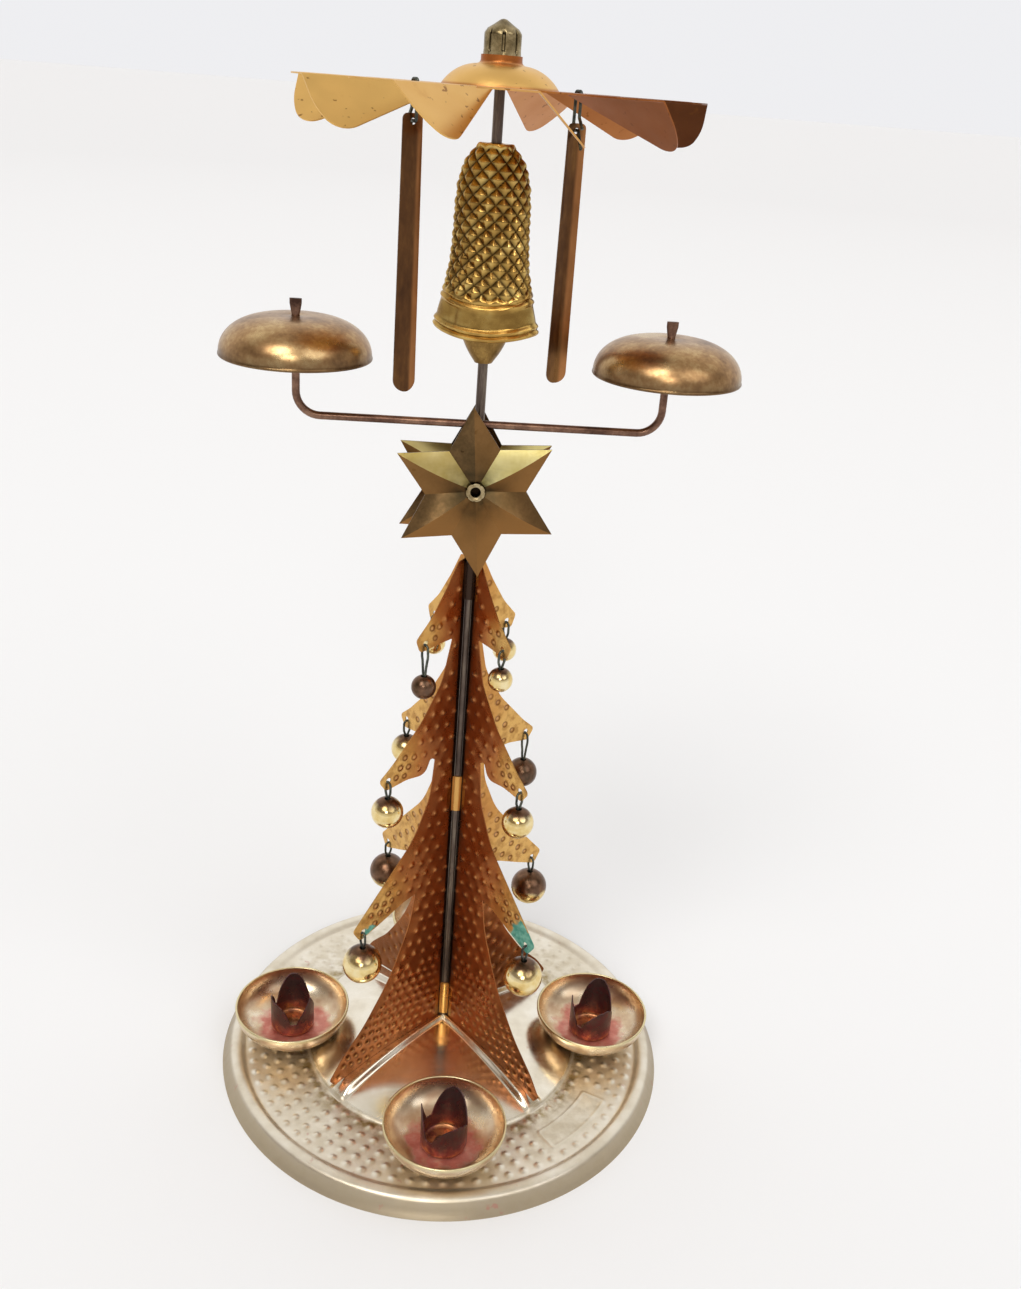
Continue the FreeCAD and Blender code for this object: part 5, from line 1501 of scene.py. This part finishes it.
def build_fan():
    shell = Shell()
    sheet = Sheet()
    for index in range(BLADES):
        add_blade(sheet, index)
    sheet.thicken(shell, FAN_SHEET / 2)
    low = FAN_Z + FAN_SHEET
    neck_r = CAP_R + FIT + FAN_SHEET
    crown = low + DOME_H
    waist = neck_r + DOME_FLARE
    swell = ((DOME_R + waist) / 2 + DOME_SWELL, low + DOME_H * 0.66)
    outer = arc_through((DOME_R, low), swell, (waist, crown), 16)
    outer += [(waist - DOME_FLARE * math.sin(t), crown + DOME_FLARE * (1 - math.cos(t)))
              for t in np.linspace(0.3, math.pi / 2, 5)]
    profile = [(DOME_R - 0.1, FAN_Z - 0.02), (DOME_R + 0.1, FAN_Z + 0.1)] + outer
    profile += [(neck_r, crown + DOME_NECK), (neck_r - 0.33, crown + DOME_NECK), (neck_r - 0.33, crown + 0.7)]
    profile += [(r - 0.2, z - 0.3) for r, z in outer[15:3:-1]] + [(DOME_R - 1.0, FAN_Z - 0.02)]
    # painted shade at the dome's foot and at its neck
    tones = [0.45 - 0.75 * float(smooth(z, low, low + 1.0)) + 0.9 * float(smooth(z, crown - 0.4, crown + 0.6))
             for _, z in profile]
    shell.lathe(profile, 120, values=tones)
    piece("fan_wheel_sheet", shell, fan_metal, "rotor", ["fan_wheel"], 30)


def cap_material():
    """Grey metal with painted shade in the slits, where the value is 1."""
    s, colour, gloss = aged("cap_grey_slit", ("5f5238", "8a7a58", "b09e78"), (0.24, 0.38), 3.0)
    colour = s.mix(s.value(), colour, "1c150d")
    return s.finish(colour, gloss)


def build_cap():
    t = circle(128)
    side = (0.0, 1.6, 2.4, *np.linspace(2.6, CAP_TOP_Z - CAP_Z - 3.3, 8))
    outer = [(CAP_Z + rise, CAP_R) for rise in side]
    outer += [(CAP_TOP_Z - drop, r) for drop, r in (
        (3.0, CAP_R - 0.03), (2.7, CAP_R * 0.95), (2.0, CAP_R * 0.82), (1.2, CAP_R * 0.52),
        (0.5, 1.25), (0.15, 0.7), (0.0, 0.05))]
    inner = [(CAP_TOP_Z - 1.6, 0.05), (CAP_TOP_Z - 1.7, 0.3), (CAP_TOP_Z - 3.3, CAP_R - 0.5)]
    inner.append((CAP_Z, CAP_R - 0.45))
    slit = np.abs((t / TAU * CAP_SLITS + 0.5) % 1 - 0.5) * TAU / CAP_SLITS * CAP_R
    depth = CAP_SLIT_DEPTH * (1 - smooth(slit, 0.2, 0.42))
    puff = 0.10 * (1 - smooth(slit, 0.3, 1.4))
    rows = []
    tones = []
    for z, r in outer:
        on = float(smooth(z, CAP_Z + 2.1, CAP_Z + 2.9) * (1 - smooth(z, CAP_TOP_Z - 3.1, CAP_TOP_Z - 2.2)))
        rows.append(ring_row(r - (depth + puff) * on, t, z))
        # painted shade in the slits
        tones.append(np.clip(depth / CAP_SLIT_DEPTH, 0, 1) * on)
    for z, r in inner:
        rows.append(ring_row(r, t, z))
        tones.append(0 * t)
    shell = Shell()
    shell.grid(rows, wrap_rows=True, wrap_cols=True, values=np.array(tones))
    piece("cap_slit", shell, cap_material(), "rotor", ["pivot_cap"], 50)


def add_strip(shell, azimuth):
    """Creased strip with an eye at its top; the half to the right is painted as lit."""
    axis, out, side = polar(STRIKER_R, azimuth), polar(1.0, azimuth), around(azimuth)
    wide, narrow = STRIKER_W / 2, STRIKER_TOP_W / 2
    outline = rounded([(-narrow, STRIKER_TOP_Z, 1.2), (narrow, STRIKER_TOP_Z, 1.2),
                       (wide, STRIKER_END_Z, wide - 0.1), (-wide, STRIKER_END_Z, wide - 0.1)], 0.4)
    eye_z = STRIKER_TOP_Z - EYE_DROP
    eye = [(EYE_R * math.cos(t), eye_z + EYE_R * math.sin(t)) for t in circle(14)]
    extra = [(u, v) for v in np.arange(STRIKER_END_Z + 1, eye_z - 1.5, 1.0)
             for u in (-2.2, -1.4, -0.7, -0.3, 0.0, 0.3, 0.7, 1.4, 2.2)]
    phase = Random(int(azimuth)).uniform(0, 6)
    right = math.copysign(1.0, out.x)

    def height(u, v):
        fold = STRIKER_CREASE / 2 - STRIKER_CREASE * np.sqrt((u / (wide + 0.5)) ** 2 + 0.004)
        fade = smooth(STRIKER_TOP_Z - v, 0.5, 5.0)
        wave = 0.05 * np.sin(v / 9.0 + phase)
        return fold * (0.35 + 0.65 * fade) + wave - STRIKER_SHEET / 2 - 0.35 * (1 - fade)

    def place(u, v, h):
        return axis + out * u + side * h + Vector((0, 0, v))

    def painted_lit_half(u, v):
        return smooth(u * right, 0.6, 1.4)
    pressed(shell, outline, [eye], extra, height, place, STRIKER_SHEET, painted_lit_half)


def loop_path(azimuth):
    """Wire from the strip's eye up through the fan and back, with both ends crossed."""
    axis, side = polar(STRIKER_R, azimuth), around(azimuth)
    crest = FAN_Z + FAN_SHEET + WIRE_R + 0.02
    low = STRIKER_TOP_Z - EYE_DROP - EYE_R + 2 * WIRE_R
    corners = ((-3.0, low - 4.2), (-WIRE_HALF, low), (WIRE_HALF, low), (WIRE_HALF, crest),
               (-WIRE_HALF, crest), (-WIRE_HALF, low + 2.8), (-2.9, low + 0.4))
    points = [axis + side * offset + Vector((0, 0, z)) for offset, z in corners]
    return fill_path(arc_path(points, WIRE_R + 0.12, 6), 0.8)


def build_strikers():
    for name, azimuth in STRIKER_AZ.items():
        body = "striker_" + name
        strip = Shell()
        add_strip(strip, azimuth)
        piece("striker_strip_" + name, strip, striker_metal, body, ["striker_" + name], 40)
        wire = Shell()
        wire.tube(loop_path(azimuth), WIRE_R, 12)
        piece("striker_loop_" + name, wire, wire_metal, body, ["striker_wire_" + name], 60)


build_base()
build_dishes()
build_sockets()
build_tree()
build_balls()
build_star()
build_eyelet()
build_arm()
build_gongs()
build_bell()
build_clapper()
build_fan()
build_cap()
build_strikers()

for node, material in (("base_nut", steel), ("dish_rivets", rivet_metal), ("center_rod", rod_metal)):
    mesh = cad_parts[node].data
    mesh.materials.clear()
    mesh.materials.append(material)


# ---------------------------------------------------------- stage and camera
def add_object(name, data):
    made = bpy.data.objects.new(name, data)
    bpy.context.scene.collection.objects.link(made)
    return made


def floor_material():
    """Pale paper, a little greyer far off, that glows faintly where it is seen."""
    s = Shader("floor_pale", metallic=0.0)
    s.body.inputs["Specular IOR Level"].default_value = 0.1
    ray = s.tree.nodes.new("ShaderNodeLightPath")
    seen = s.math("MAXIMUM", ray.outputs["Is Camera Ray"], ray.outputs["Is Glossy Ray"])
    seen = s.math("MAXIMUM", seen, ray.outputs["Is Transmission Ray"])
    s.body.inputs["Emission Color"].default_value = (1, 0.99, 1, 1)
    s.link(s.times(seen, FLOOR_GLOW), s.body.inputs["Emission Strength"])
    reach = s.tree.nodes.new("ShaderNodeVectorMath")
    reach.operation = "LENGTH"
    s.link(s.where, reach.inputs[0])
    far = s.ramp(s.times(reach.outputs["Value"], 0.2), [(0.08, 0.0), (0.8, 1.0)])
    return s.finish(s.mix(far, rgba(FLOOR_NEAR), rgba(FLOOR_FAR)), 0.9)


def build_floor():
    h = FLOOR_HALF
    mesh = bpy.data.meshes.new("floor_sheet")
    mesh.from_pydata([(-h, -h, 0), (h, -h, 0), (h, h, 0), (-h, h, 0)], [], [(0, 1, 2, 3)])
    mesh.materials.append(floor_material())
    add_object("floor_sheet", mesh)


def build_camera():
    data = bpy.data.cameras.new("view")
    data.sensor_fit = "VERTICAL"
    data.sensor_height = SENSOR_H
    data.lens = SENSOR_H * FOCAL_PX / PHOTO_H_PX
    data.clip_start = 0.01
    data.clip_end = 100.0
    camera = add_object("view", data)
    forward = CAMERA_FORWARD.normalized()
    right = (CAMERA_RIGHT - forward * CAMERA_RIGHT.dot(forward)).normalized()
    turn = Matrix((right, right.cross(forward), -forward)).transposed()
    camera.matrix_world = Matrix.Translation(Vector(CAMERA_AT) * MM) @ turn.to_4x4()
    bpy.context.scene.camera = camera
    bpy.context.scene.view_settings.view_transform = "Standard"


def build_suns():
    for name, azimuth, elevation, strength, size, colour in SUNS:
        data = bpy.data.lights.new(name, "SUN")
        data.energy = strength
        data.angle = math.radians(size)
        data.color = colour
        a, e = math.radians(azimuth), math.radians(elevation)
        toward = Vector((math.cos(a) * math.cos(e), math.sin(a) * math.cos(e), math.sin(e)))
        add_object(name, data).rotation_euler = toward.to_track_quat("Z", "Y").to_euler()


def build_room():
    """A white wall behind, a dimmer warm room in front and a grey ceiling."""
    world = bpy.data.worlds.new("studio")
    bpy.context.scene.world = world
    world.use_nodes = True
    tree = world.node_tree
    tree.nodes.clear()

    def mixed(factor, a, b):
        node = tree.nodes.new("ShaderNodeMix")
        node.data_type = "RGBA"
        tree.links.new(factor, node.inputs[0])
        tree.links.new(a, node.inputs[6])
        if isinstance(b, tuple):
            node.inputs[7].default_value = b
        else:
            tree.links.new(b, node.inputs[7])
        return node.outputs[2]
    coords = tree.nodes.new("ShaderNodeTexCoord")
    split = tree.nodes.new("ShaderNodeSeparateXYZ")
    tree.links.new(coords.outputs["Generated"], split.inputs[0])
    behind = tree.nodes.new("ShaderNodeMapRange")
    behind.interpolation_type = "SMOOTHSTEP"
    behind.inputs["From Min"].default_value, behind.inputs["From Max"].default_value = WALL_BLEND
    tree.links.new(split.outputs[1], behind.inputs["Value"])
    up = split.outputs[2]
    colour = mixed(behind.outputs[0], add_ramp(tree, up, ROOM), add_ramp(tree, up, WALL))
    ray = tree.nodes.new("ShaderNodeLightPath")
    light = tree.nodes.new("ShaderNodeBackground")
    horizon = rgba(WALL[0][1])
    tree.links.new(mixed(ray.outputs["Is Camera Ray"], colour, horizon), light.inputs["Color"])
    out = tree.nodes.new("ShaderNodeOutputWorld")
    tree.links.new(light.outputs[0], out.inputs["Surface"])


build_floor()
build_camera()
build_suns()
build_room()
